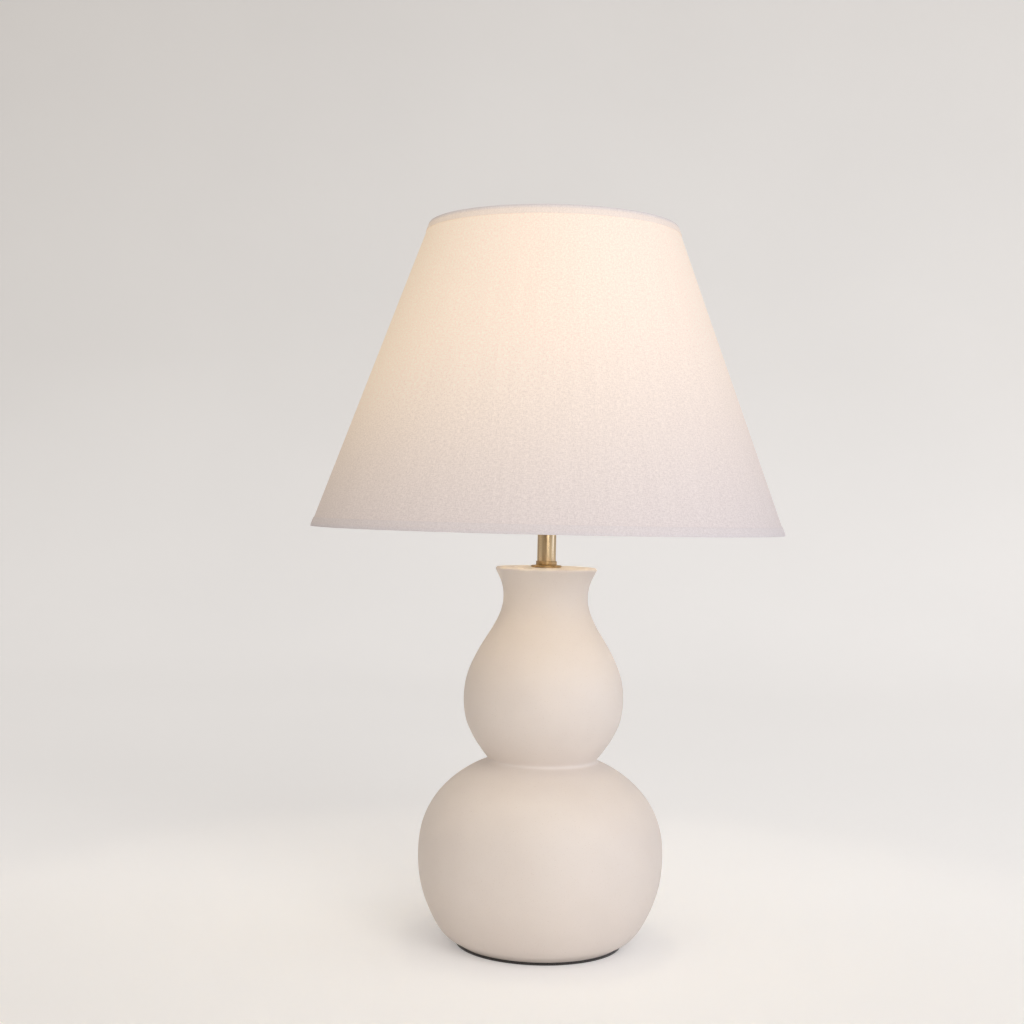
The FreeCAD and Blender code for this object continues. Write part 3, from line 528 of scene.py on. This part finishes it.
def stand_ribs(core, material):
    """Stand ribs evenly round the knob's grip and join them to it as a plain mesh."""
    tree = bpy.data.node_groups.new("knob_ribs", "GeometryNodeTree")
    inputs = {"Rib count": ("NodeSocketInt", ribs),
              "Ring radius": ("NodeSocketFloat", knob_radius - rib_half),
              "Rib half width": ("NodeSocketFloat", rib_half),
              "Rib half length": ("NodeSocketFloat", 0.47 * grip),
              "Ring height": ("NodeSocketFloat", knob_end - grip / 2)}
    tree.interface.new_socket("Geometry", in_out="INPUT", socket_type="NodeSocketGeometry")
    tree.interface.new_socket("Geometry", in_out="OUTPUT", socket_type="NodeSocketGeometry")
    sockets = {title: tree.interface.new_socket(title, in_out="INPUT", socket_type=kind)
               for title, (kind, size) in inputs.items()}
    nodes, new_link = tree.nodes, tree.links.new
    given, made = nodes.new("NodeGroupInput"), nodes.new("NodeGroupOutput")
    ring = nodes.new("GeometryNodeMeshCircle")
    new_link(given.outputs["Rib count"], ring.inputs["Vertices"])
    new_link(given.outputs["Ring radius"], ring.inputs["Radius"])
    rib = add(nodes, "GeometryNodeMeshUVSphere", Segments=12, Rings=10, Radius=1.0)
    smooth = nodes.new("GeometryNodeSetShadeSmooth")
    new_link(rib.outputs["Mesh"], smooth.inputs["Geometry"])
    rib_size = nodes.new("ShaderNodeCombineXYZ")
    new_link(given.outputs["Rib half width"], rib_size.inputs["X"])
    new_link(given.outputs["Rib half width"], rib_size.inputs["Y"])
    new_link(given.outputs["Rib half length"], rib_size.inputs["Z"])
    stand = nodes.new("GeometryNodeInstanceOnPoints")
    new_link(ring.outputs["Mesh"], stand.inputs["Points"])
    new_link(smooth.outputs["Geometry"], stand.inputs["Instance"])
    new_link(rib_size.outputs["Vector"], stand.inputs["Scale"])
    height = nodes.new("ShaderNodeCombineXYZ")
    new_link(given.outputs["Ring height"], height.inputs["Z"])
    raised = nodes.new("GeometryNodeTransform")
    new_link(stand.outputs["Instances"], raised.inputs["Geometry"])
    new_link(height.outputs["Vector"], raised.inputs["Translation"])
    joined = nodes.new("GeometryNodeJoinGeometry")
    new_link(raised.outputs["Geometry"], joined.inputs["Geometry"])
    new_link(given.outputs["Geometry"], joined.inputs["Geometry"])
    plain = nodes.new("GeometryNodeRealizeInstances")
    new_link(joined.outputs["Geometry"], plain.inputs["Geometry"])
    paint = nodes.new("GeometryNodeSetMaterial")
    paint.inputs["Material"].default_value = material
    new_link(plain.outputs["Geometry"], paint.inputs["Geometry"])
    new_link(paint.outputs["Geometry"], made.inputs["Geometry"])
    modifier = core.modifiers.new("ribs", "NODES")
    modifier.node_group = tree
    for title, (kind, size) in inputs.items():
        modifier[sockets[title].identifier] = size
    bpy.context.view_layer.update()
    worked = core.evaluated_get(bpy.context.evaluated_depsgraph_get())
    ribbed = bpy.data.meshes.new_from_object(worked)
    core.modifiers.remove(modifier)
    core.data = ribbed
    return core


grip_radius = knob_radius - 0.4 * MM
core = lathe("ribbed_switch_knob", [
    (0, knob_start), (knob_waist, knob_start), (knob_waist, knob_end - grip),
    (grip_radius, knob_end - grip + 1 * MM), (grip_radius, knob_end - 0.8 * MM),
    (grip_radius - 0.8 * MM, knob_end), (0, knob_end)], segments=72, soft=0.7 * MM)
to_front = Matrix.Rotation(math.pi / 2, 4, "X")
knob = turned_to(stand_ribs(core, phenolic), Matrix.Translation((0, 0, switch_height)) @ to_front)
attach(knob, "knob")
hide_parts("switch_knob")
dress(zinc, "switch_shaft")

# ---------------------------------------------------------------- bulb
# A warm white bulb with a frosted plastic globe on a white housing, screwed into the socket. Its
# rolled screw cap has a black insulator and a tinned contact under it.
bulb_cap_low, housing_low, housing_top = 387 * MM, 404 * MM, 428 * MM
globe_radius, globe_centre, globe_mouth = 30 * MM, 456 * MM, 25 * MM
bulb_white = rgb(255, 244, 225)
bulb_cap_radius, bulb_cap_bore, bulb_thread, bulb_pitch = 13.2 * MM, 12.0 * MM, 1.0 * MM, 3.6 * MM
bulb_cap = threaded("rolled_bulb_cap", bulb_cap_low, housing_low, bulb_cap_radius, bulb_thread,
                    bulb_pitch, bulb_cap_bore, segments=48)
bulb_cap.data.materials.append(nickel)
housing = lathe("bulb_heat_housing", [
    (0, housing_low), (14.2 * MM, housing_low), (14.6 * MM, housing_low + 2 * MM),
    (17.2 * MM, housing_low + 6.5 * MM), (21.4 * MM, housing_low + 14 * MM),
    (24.2 * MM, housing_low + 20.5 * MM), (globe_mouth, housing_top), (0, housing_top)],
    soft=1.2 * MM)
housing.data.materials.append(
    moulded_finish("white_moulding", rgb(232, 230, 224), rgb(240, 238, 233), roughness=0.35))


def frosted_glow():
    """Milky plastic lit from inside, a little dimmer where the globe meets its housing."""
    material, nodes, new_link, shader = finish("frosted_globe")
    frost = add(nodes, "ShaderNodeTexNoise", Scale=600.0, Detail=3.0)
    where = place(nodes, new_link)
    new_link(where, frost.inputs["Vector"])
    milky = [(0.3, rgb(200, 196, 188)), (0.7, rgb(210, 206, 199))]
    new_link(tones(nodes, new_link, frost.outputs["Fac"], milky), shader.inputs["Base Color"])
    height = nodes.new("ShaderNodeSeparateXYZ")
    new_link(where, height.inputs["Vector"])
    glow = add(nodes, "ShaderNodeMapRange", From_Min=housing_top, From_Max=globe_centre,
               To_Min=0.3, To_Max=0.55)
    new_link(height.outputs["Z"], glow.inputs["Value"])
    new_link(glow.outputs["Result"], shader.inputs["Emission Strength"])
    shader.inputs["Emission Color"].default_value = bulb_white
    shader.inputs["Roughness"].default_value = 0.5
    return material


globe_side = smooth_line([(globe_mouth, housing_top), (27.6 * MM, 438 * MM), (29.4 * MM, 447 * MM),
                          (globe_radius, globe_centre)], per_span=6)


def ball_points(radius, centre, degrees):
    """Points on a ball's outline, at angles up from its equator."""
    return [(radius * math.cos(math.radians(a)), centre + radius * math.sin(math.radians(a)))
            for a in degrees]


globe_dome = ball_points(globe_radius, globe_centre, range(6, 90, 6))
globe_tip = (0, globe_centre + globe_radius)
globe = lathe("frosted_bulb_globe", [(0, housing_top)] + globe_side + globe_dome + [globe_tip])
globe.data.materials.append(frosted_glow())
for piece, node, slot_name in ((bulb_cap, "bulb_cap", "nickel_shell"),
                               (housing, "bulb_housing", "bulb_plastic"),
                               (globe, "bulb_globe", "diffuser")):
    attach(piece, "bulb")
    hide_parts(node)
white_board = moulded_finish("white_board", rgb(236, 236, 230), rgb(244, 244, 240),
                             roughness=0.4)
dress(zinc, "bulb_tip")
dress(phenolic, "bulb_insulator")
dress(white_board, "led_board")
# The lit bulb's light: a soft ball just inside the globe, which lets it through.
bulb_light = bpy.data.lights.new("bulb_light", "POINT")
bulb_light.energy, bulb_light.color = 1.7, bulb_white[:3]
bulb_light.shadow_soft_size = globe_radius - 2 * MM
bulb_light.cycles.use_multiple_importance_sampling = False
link("bulb_light", bulb_light).location = (0, 0, globe_centre)
globe.visible_shadow = False

# ---------------------------------------------------------------- harp and sleeves
# One brass plated steel wire bent round the bulb, with a drilled crown on top that carries the
# swivel seat. A loose sleeve on each leg locks it to the saddle's peg.
wire_radius, leg_reach = 1.6 * MM, 34 * MM
# The right half's corners, as (reach, height, radius of the bend there).
harp_half = [(leg_reach, 366.1 * MM, 0), (leg_reach, 398.1 * MM, 40 * MM),
             (53 * MM, 425 * MM, 35 * MM), (53 * MM, 453 * MM, 35 * MM),
             (22 * MM, 511.5 * MM, 14 * MM)]


def rounded_route(points, per_turn=12):
    """Points along straight runs joined by tangent arcs."""
    route = [Vector(points[0][:2])]
    for before, here, after in zip(points, points[1:], points[2:]):
        corner, radius = Vector(here[:2]), here[2]
        back = (Vector(before[:2]) - corner).normalized()
        ahead = (Vector(after[:2]) - corner).normalized()
        half = back.angle(ahead) / 2
        centre = corner + (back + ahead).normalized() * radius / math.sin(half)
        start = corner + back * radius / math.tan(half)
        end = corner + ahead * radius / math.tan(half)
        sweep = (start - centre).angle_signed(end - centre)
        for step in range(per_turn + 1):
            turn = Matrix.Rotation(-sweep * step / per_turn, 2)
            route.append(centre + turn @ (start - centre))
    route.append(Vector(points[-1][:2]))
    return route


def wire_piece(name, route, radius, segments=20):
    """A round wire in the XZ plane along a route, with closed ends."""
    shape = bmesh.new()
    rings = []
    for index, point in enumerate(route):
        ahead = route[min(index + 1, len(route) - 1)] - route[max(index - 1, 0)]
        ahead.normalize()
        side = Vector((-ahead.y, ahead.x))
        ring = []
        for step in range(segments):
            angle = 2 * math.pi * step / segments
            at = point + side * radius * math.cos(angle)
            ring.append(shape.verts.new((at.x, radius * math.sin(angle), at.y)))
        rings.append(ring)
    for low, high in zip(rings, rings[1:]):
        for step in range(segments):
            after = (step + 1) % segments
            shape.faces.new((low[step], low[after], high[after], high[step]))
    shape.faces.new(rings[0])
    shape.faces.new(rings[-1])
    return smoothed(name, shape, 50)


harp_points = harp_half + [(-x, z, radius) for x, z, radius in harp_half[::-1]]
harp = wire_piece("bent_harp_wire", rounded_route(harp_points), wire_radius)
harp.data.materials.append(spun_brass)
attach(harp, "harp")
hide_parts("harp_wire")
sleeve_bore, sleeve_flare, sleeve_waist = 2.1 * MM, 3.7 * MM, 3.3 * MM
sleeve_low, sleeve_high, flare_length = 359.3 * MM, 374.3 * MM, 2.7 * MM
for side, body in ((-1, "sleeve_left"), (1, "sleeve_right")):
    sleeve = lathe("locking_" + body, [
        (sleeve_bore, sleeve_low), (sleeve_flare, sleeve_low),
        (sleeve_waist, sleeve_low + flare_length), (sleeve_waist, sleeve_high - flare_length),
        (sleeve_flare, sleeve_high), (sleeve_bore, sleeve_high)], segments=40, soft=0.5 * MM)
    turned_to(sleeve, Matrix.Translation((side * leg_reach, 0, 0)))
    sleeve.data.materials.append(spun_brass)
    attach(sleeve, body)
    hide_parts(body)
dress(spun_brass, "harp_crown", "harp_seat")

# ---------------------------------------------------------------- shade frame
# Two wire rings hold the shade open. Three arms run down from the top ring to a pierced hub that
# drops over the harp's stud. All of it is steel wire and plate, welded and coated white.
coated = moulded_finish("white_coated_wire", rgb(206, 203, 198), rgb(220, 217, 212),
                        roughness=0.4)
shade_bottom, shade_height = 306.5 * MM, 225 * MM
bottom_radius, top_radius = 175 * MM, 92.5 * MM
shade_top = shade_bottom + shade_height
taper = (bottom_radius - top_radius) / shade_height
cover_wall, trim_wall, ring_inset = 1.0 * MM, 0.5 * MM, 2.4 * MM


def shade_radius(height, inset=0.0):
    """The shade's outer radius at a height, less an inset."""
    return bottom_radius - taper * (height - shade_bottom) - inset


def ring_piece(name, radius, height, wire, sides=20):
    """A round wire closed into a level ring."""
    angles = [2 * math.pi * side / sides for side in range(sides)]
    section = [(radius + wire * math.cos(a), height + wire * math.sin(a)) for a in angles]
    return lathe(name, section, segments=200)


# A wire of this radius touches the sloping cloth when its middle is this far inside the cone.
ring_offset = trim_wall + cover_wall + 0.2 * MM + 1.064 * wire_radius
for name, height in (("bottom_ring", shade_bottom + ring_inset),
                     ("top_ring", shade_top - ring_inset)):
    ring = ring_piece("coated_" + name, shade_radius(height, ring_offset), height, wire_radius)
    ring.data.materials.append(coated)
    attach(ring, "shade")
    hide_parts(name)
dress(coated, "spider_hub", "spider_arms")

# ---------------------------------------------------------------- shade cover
# Off-white linen on a stiff white lining, cut as a flat ring sector, closed into a cone and glued
# over the two rings. A painted glow on the cloth stands in for the bulb's light through it,
# brightest where the bulb behind it is nearest.
cover_low, cover_top = shade_bottom + trim_wall, shade_top - trim_wall
lean = math.atan2(bottom_radius - top_radius, shade_height)


def calculate(nodes, new_link, operation, *terms):
    """A math node on numbers or on other nodes' outputs."""
    node = nodes.new("ShaderNodeMath")
    node.operation = operation
    for index, term in enumerate(terms):
        if isinstance(term, (int, float)):
            node.inputs[index].default_value = term
        else:
            new_link(term, node.inputs[index])
    return node.outputs[0]


def weave_finish(name, dark, light, painted_glow, rim=None):
    """Linen: threads from stretched noise on the cloth's own map, in metres, and a painted glow
    that stands in for the bulb's light through it. Close to a rim the cloth is folded round its
    wire, so the painted glow is dimmed there."""
    material, nodes, new_link, shader = finish(name)
    where = nodes.new("ShaderNodeUVMap")
    where.uv_map = "cloth"

    def threads(stretch, detail):
        mapping = add(nodes, "ShaderNodeMapping", Scale=stretch)
        new_link(where.outputs["UV"], mapping.inputs["Vector"])
        noise = add(nodes, "ShaderNodeTexNoise", Scale=1.0, Detail=detail, Roughness=0.6)
        new_link(mapping.outputs["Vector"], noise.inputs["Vector"])
        return noise.outputs["Fac"]

    def work(operation, *terms):
        return calculate(nodes, new_link, operation, *terms)

    fine_share, slub_share, even_out = 0.9, 0.25, 0.317
    weft, warp = threads((420, 1250, 1), 3.0), threads((1250, 420, 1), 3.0)
    fine, slub = threads((1700, 1700, 1), 1.0), threads((430, 14, 1), 2.0)
    cloth = work("ADD", work("ADD", weft, warp), work("MULTIPLY", fine, fine_share))
    cloth = work("MULTIPLY", work("ADD", cloth, work("MULTIPLY", slub, slub_share)), even_out)
    thread_colour = tones(nodes, new_link, cloth, [(0.40, dark), (0.60, light)])
    new_link(thread_colour, shader.inputs["Base Color"])
    relief(nodes, new_link, cloth, shader, 0.7, 0.5 * MM)
    shader.inputs["Roughness"].default_value = 0.85
    shader.inputs["Specular IOR Level"].default_value = 0.2
    shader.inputs["Sheen Weight"].default_value = 0.15

    # The glow is painted: light on a cone from a point near its axis falls with the cube of the
    # distance. The lining spreads it, so it levels off towards the top. The painted glow's middle
    # stands 18 mm off the axis towards -X and 4 mm above the globe's centre.
    painted_glow_middle, levelling, fold_height = (-18 * MM, 0, globe_centre + 4 * MM), 3.75, 3 * MM
    position = nodes.new("ShaderNodeTexCoord")
    to_glow = nodes.new("ShaderNodeVectorMath")
    to_glow.operation = "DISTANCE"
    to_glow.inputs[1].default_value = painted_glow_middle
    new_link(position.outputs["Object"], to_glow.inputs[0])
    facing = shade_radius(globe_centre) * math.cos(lean)
    near = work("POWER", to_glow.outputs["Value"], -3.0)
    near = work("MULTIPLY", near, -levelling * facing ** 3)
    spread = work("SUBTRACT", 1.0, work("EXPONENT", near))
    spread = work("MAXIMUM", work("MULTIPLY_ADD", spread, 1.3, -0.3), 0.0)
    lit = work("MULTIPLY", spread, work("MULTIPLY_ADD", cloth, 1.1, 0.45))
    # Painted shade: the painted glow fades to nothing at the rim, where the cloth folds round the
    # wire.
    if rim:
        height = nodes.new("ShaderNodeSeparateXYZ")
        new_link(position.outputs["Object"], height.inputs["Vector"])
        from_rim = work("ABSOLUTE", work("SUBTRACT", height.outputs["Z"], rim))
        lit = work("MULTIPLY", lit, work("MINIMUM", work("DIVIDE", from_rim, fold_height), 1.0))
    shader.inputs["Emission Color"].default_value = (1.0, 0.70, 0.29, 1)
    new_link(work("MULTIPLY", lit, painted_glow), shader.inputs["Emission Strength"])
    return material


def cone_cloth(name, low, high, inset, wall, rows=24, segments=256):
    """A conical band of cloth with a wall, mapped flat in metres as it was cut."""
    shape = bmesh.new()
    layer = shape.loops.layers.uv.new("cloth")
    heights = [low + (high - low) * row / rows for row in range(rows + 1)]
    angles = [2 * math.pi * index / segments for index in range(segments)]
    mean = shade_radius((low + high) / 2)

    def skin(inwards):
        return [[shape.verts.new((shade_radius(height, inwards) * math.cos(angle),
                                  shade_radius(height, inwards) * math.sin(angle), height))
                 for angle in angles] for height in heights]

    outer, inner = skin(inset), skin(inset + wall)
    for row in (0, rows):
        for i in range(segments):
            after = (i + 1) % segments
            shape.faces.new((outer[row][i], outer[row][after], inner[row][after], inner[row][i]))
    for rings in (outer, inner):
        for row, (below, above) in enumerate(zip(rings, rings[1:])):
            for i in range(segments):
                after = (i + 1) % segments
                face = shape.faces.new((below[i], below[after], above[after], above[i]))
                flat = ((i, row), (i + 1, row), (i + 1, row + 1), (i, row + 1))
                for loop, (across, up) in zip(face.loops, flat):
                    loop[layer].uv = (2 * math.pi * mean * across / segments,
                                      (heights[up] - shade_bottom) / math.cos(lean))
    return smoothed(name, shape, 50)


cover = cone_cloth("linen_shade_cover", cover_low, cover_top, trim_wall, cover_wall)
# The cover's outside carries the painted glow; its inside is the plain lining.
cover.data.materials.append(
    weave_finish("glow_painted_linen", rgb(210, 201, 204), rgb(231, 223, 225), painted_glow=0.35))
cover.data.materials.append(
    moulded_finish("white_lining", rgb(185, 180, 171), rgb(193, 188, 180), roughness=0.6))
for face in cover.data.polygons:
    outwards = Vector(face.center[:2]).normalized().dot(face.normal[:2])
    face.material_index = 1 if outwards < -0.5 else 0
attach(cover, "shade")
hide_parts("shade_cover")

# ---------------------------------------------------------------- rim trims
# A narrow folded band of the same linen is glued round each rim and turned in over the wire ring,
# so the edge stands a little proud and is softly rounded.
trim_height = 6.5 * MM


def trim_band(name, rim, way):
    """A folded band at a rim, standing up from it where way is 1, hanging down where it is -1."""
    folded, leg, across, steps = 0.8 * MM, rim + way * trim_height, trim_wall + cover_wall, 5
    fold, inside = rim + way * folded, rim + way * trim_wall
    profile = [(shade_radius(rim, 0.25 * MM), rim), (shade_radius(fold), fold)]
    for step in range(1, steps):
        height = rim + way * (folded + (trim_height - 1.2 * MM) * step / steps)
        profile.append((shade_radius(height), height))
    profile += [(shade_radius(leg, 0.15 * MM), leg), (shade_radius(leg, trim_wall), leg),
                (shade_radius(inside, trim_wall), inside), (shade_radius(inside, across), inside),
                (shade_radius(rim, across), rim)]
    band = lathe(name, profile, segments=256, soft=0.15 * MM)
    layer = band.data.uv_layers.new(name="cloth")
    for loop in band.data.loops:
        point = band.data.vertices[loop.vertex_index].co
        around = math.atan2(point.y, point.x) + math.pi
        layer.data[loop.index].uv = (around * bottom_radius, point.z)
    return band


for name, rim, way in (("bottom_trim", shade_bottom, 1), ("top_trim", shade_top, -1)):
    band = trim_band("folded_" + name, rim, way)
    # The trims carry a weaker painted glow, dimmed towards their rims.
    band.data.materials.append(weave_finish(name + "_linen", rgb(211, 203, 206),
                                            rgb(229, 222, 225), painted_glow=0.24, rim=rim))
    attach(band, "shade")
    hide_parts(name)

# ---------------------------------------------------------------- finial
# A small ball on a flared foot, turned from a brass rod. It is screwed on the harp's stud, over the
# shade's hub, and holds the shade down.
finial_low, finial_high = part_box("finial")
start, tip = finial_low[2], finial_high[2]
stud_hole, hole_end, finial_foot = 3.15 * MM, start + 15.5 * MM, 7.0 * MM
ball_radius = 7.6 * MM
foot_and_neck = [(finial_foot, start), (finial_foot, start + 1.2 * MM),
                 (6.2 * MM, start + 2.6 * MM), (5.0 * MM, start + 4.2 * MM),
                 (4.6 * MM, start + 5.8 * MM), (5.2 * MM, start + 7.0 * MM),
                 (4.6 * MM, start + 8.0 * MM)]
finial = lathe("turned_finial", [(stud_hole, start)] + foot_and_neck
               + ball_points(ball_radius, tip - ball_radius, range(-36, 90, 7))
               + [(0, tip), (0, hole_end), (stud_hole, hole_end)], segments=72)
finial.data.materials.append(spun_brass)
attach(finial, "finial")
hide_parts("finial")

# ---------------------------------------------------------------- floor, light and camera
# A pale sweep that runs up into a backdrop. One large soft lamp at the front right, a low fill, a
# cool one at the right and a faint warm one at the left stand round it, in a pale room light. The
# camera stands a little above the shade's lower rim, as the photograph's did.


def sweep():
    """A floor that turns up into a wall in one curve."""
    near, far, turn, top, width, steps = -12.0, 3.2, 1.6, 5.0, 12.0, 24
    angles = [math.pi / 2 * step / steps for step in range(steps + 1)]
    curve = [(far - turn + turn * math.sin(a), turn - turn * math.cos(a)) for a in angles]
    line = [(near, 0.0)] + curve + [(far, top)]
    shape = bmesh.new()
    rows = [[shape.verts.new((x, y, z)) for x in (-width, width)] for y, z in line]
    for low, high in zip(rows, rows[1:]):
        shape.faces.new((low[0], low[1], high[1], high[0])).smooth = True
    mesh = bpy.data.meshes.new("sweep")
    shape.to_mesh(mesh)
    shape.free()
    return link("sweep", mesh)


def paper_finish():
    """Matt pale paper for the sweep, with painted light and shade graded over it."""
    material, nodes, new_link, shader = finish("pale_paper")
    tooth = add(nodes, "ShaderNodeTexNoise", Scale=2.0, Detail=2.0)
    new_link(place(nodes, new_link), tooth.inputs["Vector"])
    paper = [(0.3, rgb(238, 236, 234)), (0.7, rgb(241, 239, 237))]
    new_link(tones(nodes, new_link, tooth.outputs["Fac"], paper), shader.inputs["Base Color"])
    shader.inputs["Roughness"].default_value = 0.9
    shader.inputs["Specular IOR Level"].default_value = 0.1
    # Painted light: the camera and the metal see the sweep a little paler, most at the right and on
    # the floor behind the lamp, and painted shade makes it darker higher up. It lights nothing. Each
    # grade adds up to its gain from start to end.
    split = nodes.new("ShaderNodeSeparateXYZ")
    new_link(place(nodes, new_link), split.inputs["Vector"])
    pale = -0.08
    for axis, start, end, gain in (("X", -2.0, 2.0, 0.16), ("Y", -2.4, -0.4, 0.15),
                                   ("Y", -0.2, 0.15, 0.072), ("Y", 0.0, 3.2, 0.07),
                                   ("Z", 0.0, 0.7, -0.105), ("Z", 0.7, 2.0, -0.08)):
        grade = add(nodes, "ShaderNodeMapRange", From_Min=start, From_Max=end,
                    To_Min=0.0, To_Max=gain)
        new_link(split.outputs[axis], grade.inputs["Value"])
        pale = calculate(nodes, new_link, "ADD", grade.outputs["Result"], pale)
    pale = calculate(nodes, new_link, "MAXIMUM", pale, 0.0)
    ray = nodes.new("ShaderNodeLightPath")
    looked_at = ray.outputs["Is Camera Ray"]
    for kind in ("Is Glossy Ray", "Is Transmission Ray"):
        looked_at = calculate(nodes, new_link, "MAXIMUM", looked_at, ray.outputs[kind])
    painted_light = calculate(nodes, new_link, "MULTIPLY", looked_at, pale)
    shader.inputs["Emission Color"].default_value = (1.0, 1.01, 1.05, 1)
    new_link(painted_light, shader.inputs["Emission Strength"])
    return material


backdrop = sweep()
backdrop.data.materials.append(paper_finish())

world = bpy.data.worlds.new("room")
bpy.context.scene.world = world
world.use_nodes = True
room_light = world.node_tree.nodes["Background"]
room_light.inputs["Color"].default_value = (1.0, 0.95, 0.89, 1)
room_light.inputs["Strength"].default_value = 0.55


def soft_lamp(name, place_at, aim_height, size, power, colour):
    """A square lamp turned towards a height on the lamp's axis."""
    light = bpy.data.lights.new(name, "AREA")
    light.shape, light.size, light.energy, light.color = "SQUARE", size, power, colour
    lamp = link(name, light)
    lamp.location = place_at
    aim = Vector((0, 0, aim_height)) - Vector(place_at)
    lamp.rotation_euler = aim.to_track_quat("-Z", "Y").to_euler()


soft_lamp("key", (1.25, -2.4, 1.7), aim_height=0.2, size=1.7, power=23,
          colour=(0.97, 0.985, 1.0))
soft_lamp("low_fill", (0.55, -2.7, 0.55), aim_height=0.25, size=1.0, power=11,
          colour=(1.0, 0.99, 0.98))
soft_lamp("right_fill", (2.1, -0.4, 0.35), aim_height=0.25, size=1.1, power=6.5,
          colour=(0.55, 0.7, 1.0))
soft_lamp("left_fill", (-2.1, -0.5, 0.8), aim_height=0.35, size=1.1, power=0.7,
          colour=(1.0, 0.6, 0.25))

eye = Vector((-0.0264, -1.180, 0.3264))
look_down, roll = math.radians(0.336), math.radians(1.27)
picture_width, focal_length = 1024, 1587.1  # both in pixels
camera_data = bpy.data.cameras.new("camera")
camera_data.sensor_width = 36.0
camera_data.lens = focal_length / picture_width * camera_data.sensor_width
camera_data.clip_start, camera_data.clip_end = 0.01, 50
camera = link("camera", camera_data)
camera.matrix_world = (Matrix.Translation(eye) @ Matrix.Rotation(math.pi / 2 - look_down, 4, "X")
                       @ Matrix.Rotation(roll, 4, "Z"))
bpy.context.scene.camera = camera
bpy.context.scene.view_settings.view_transform = "Standard"
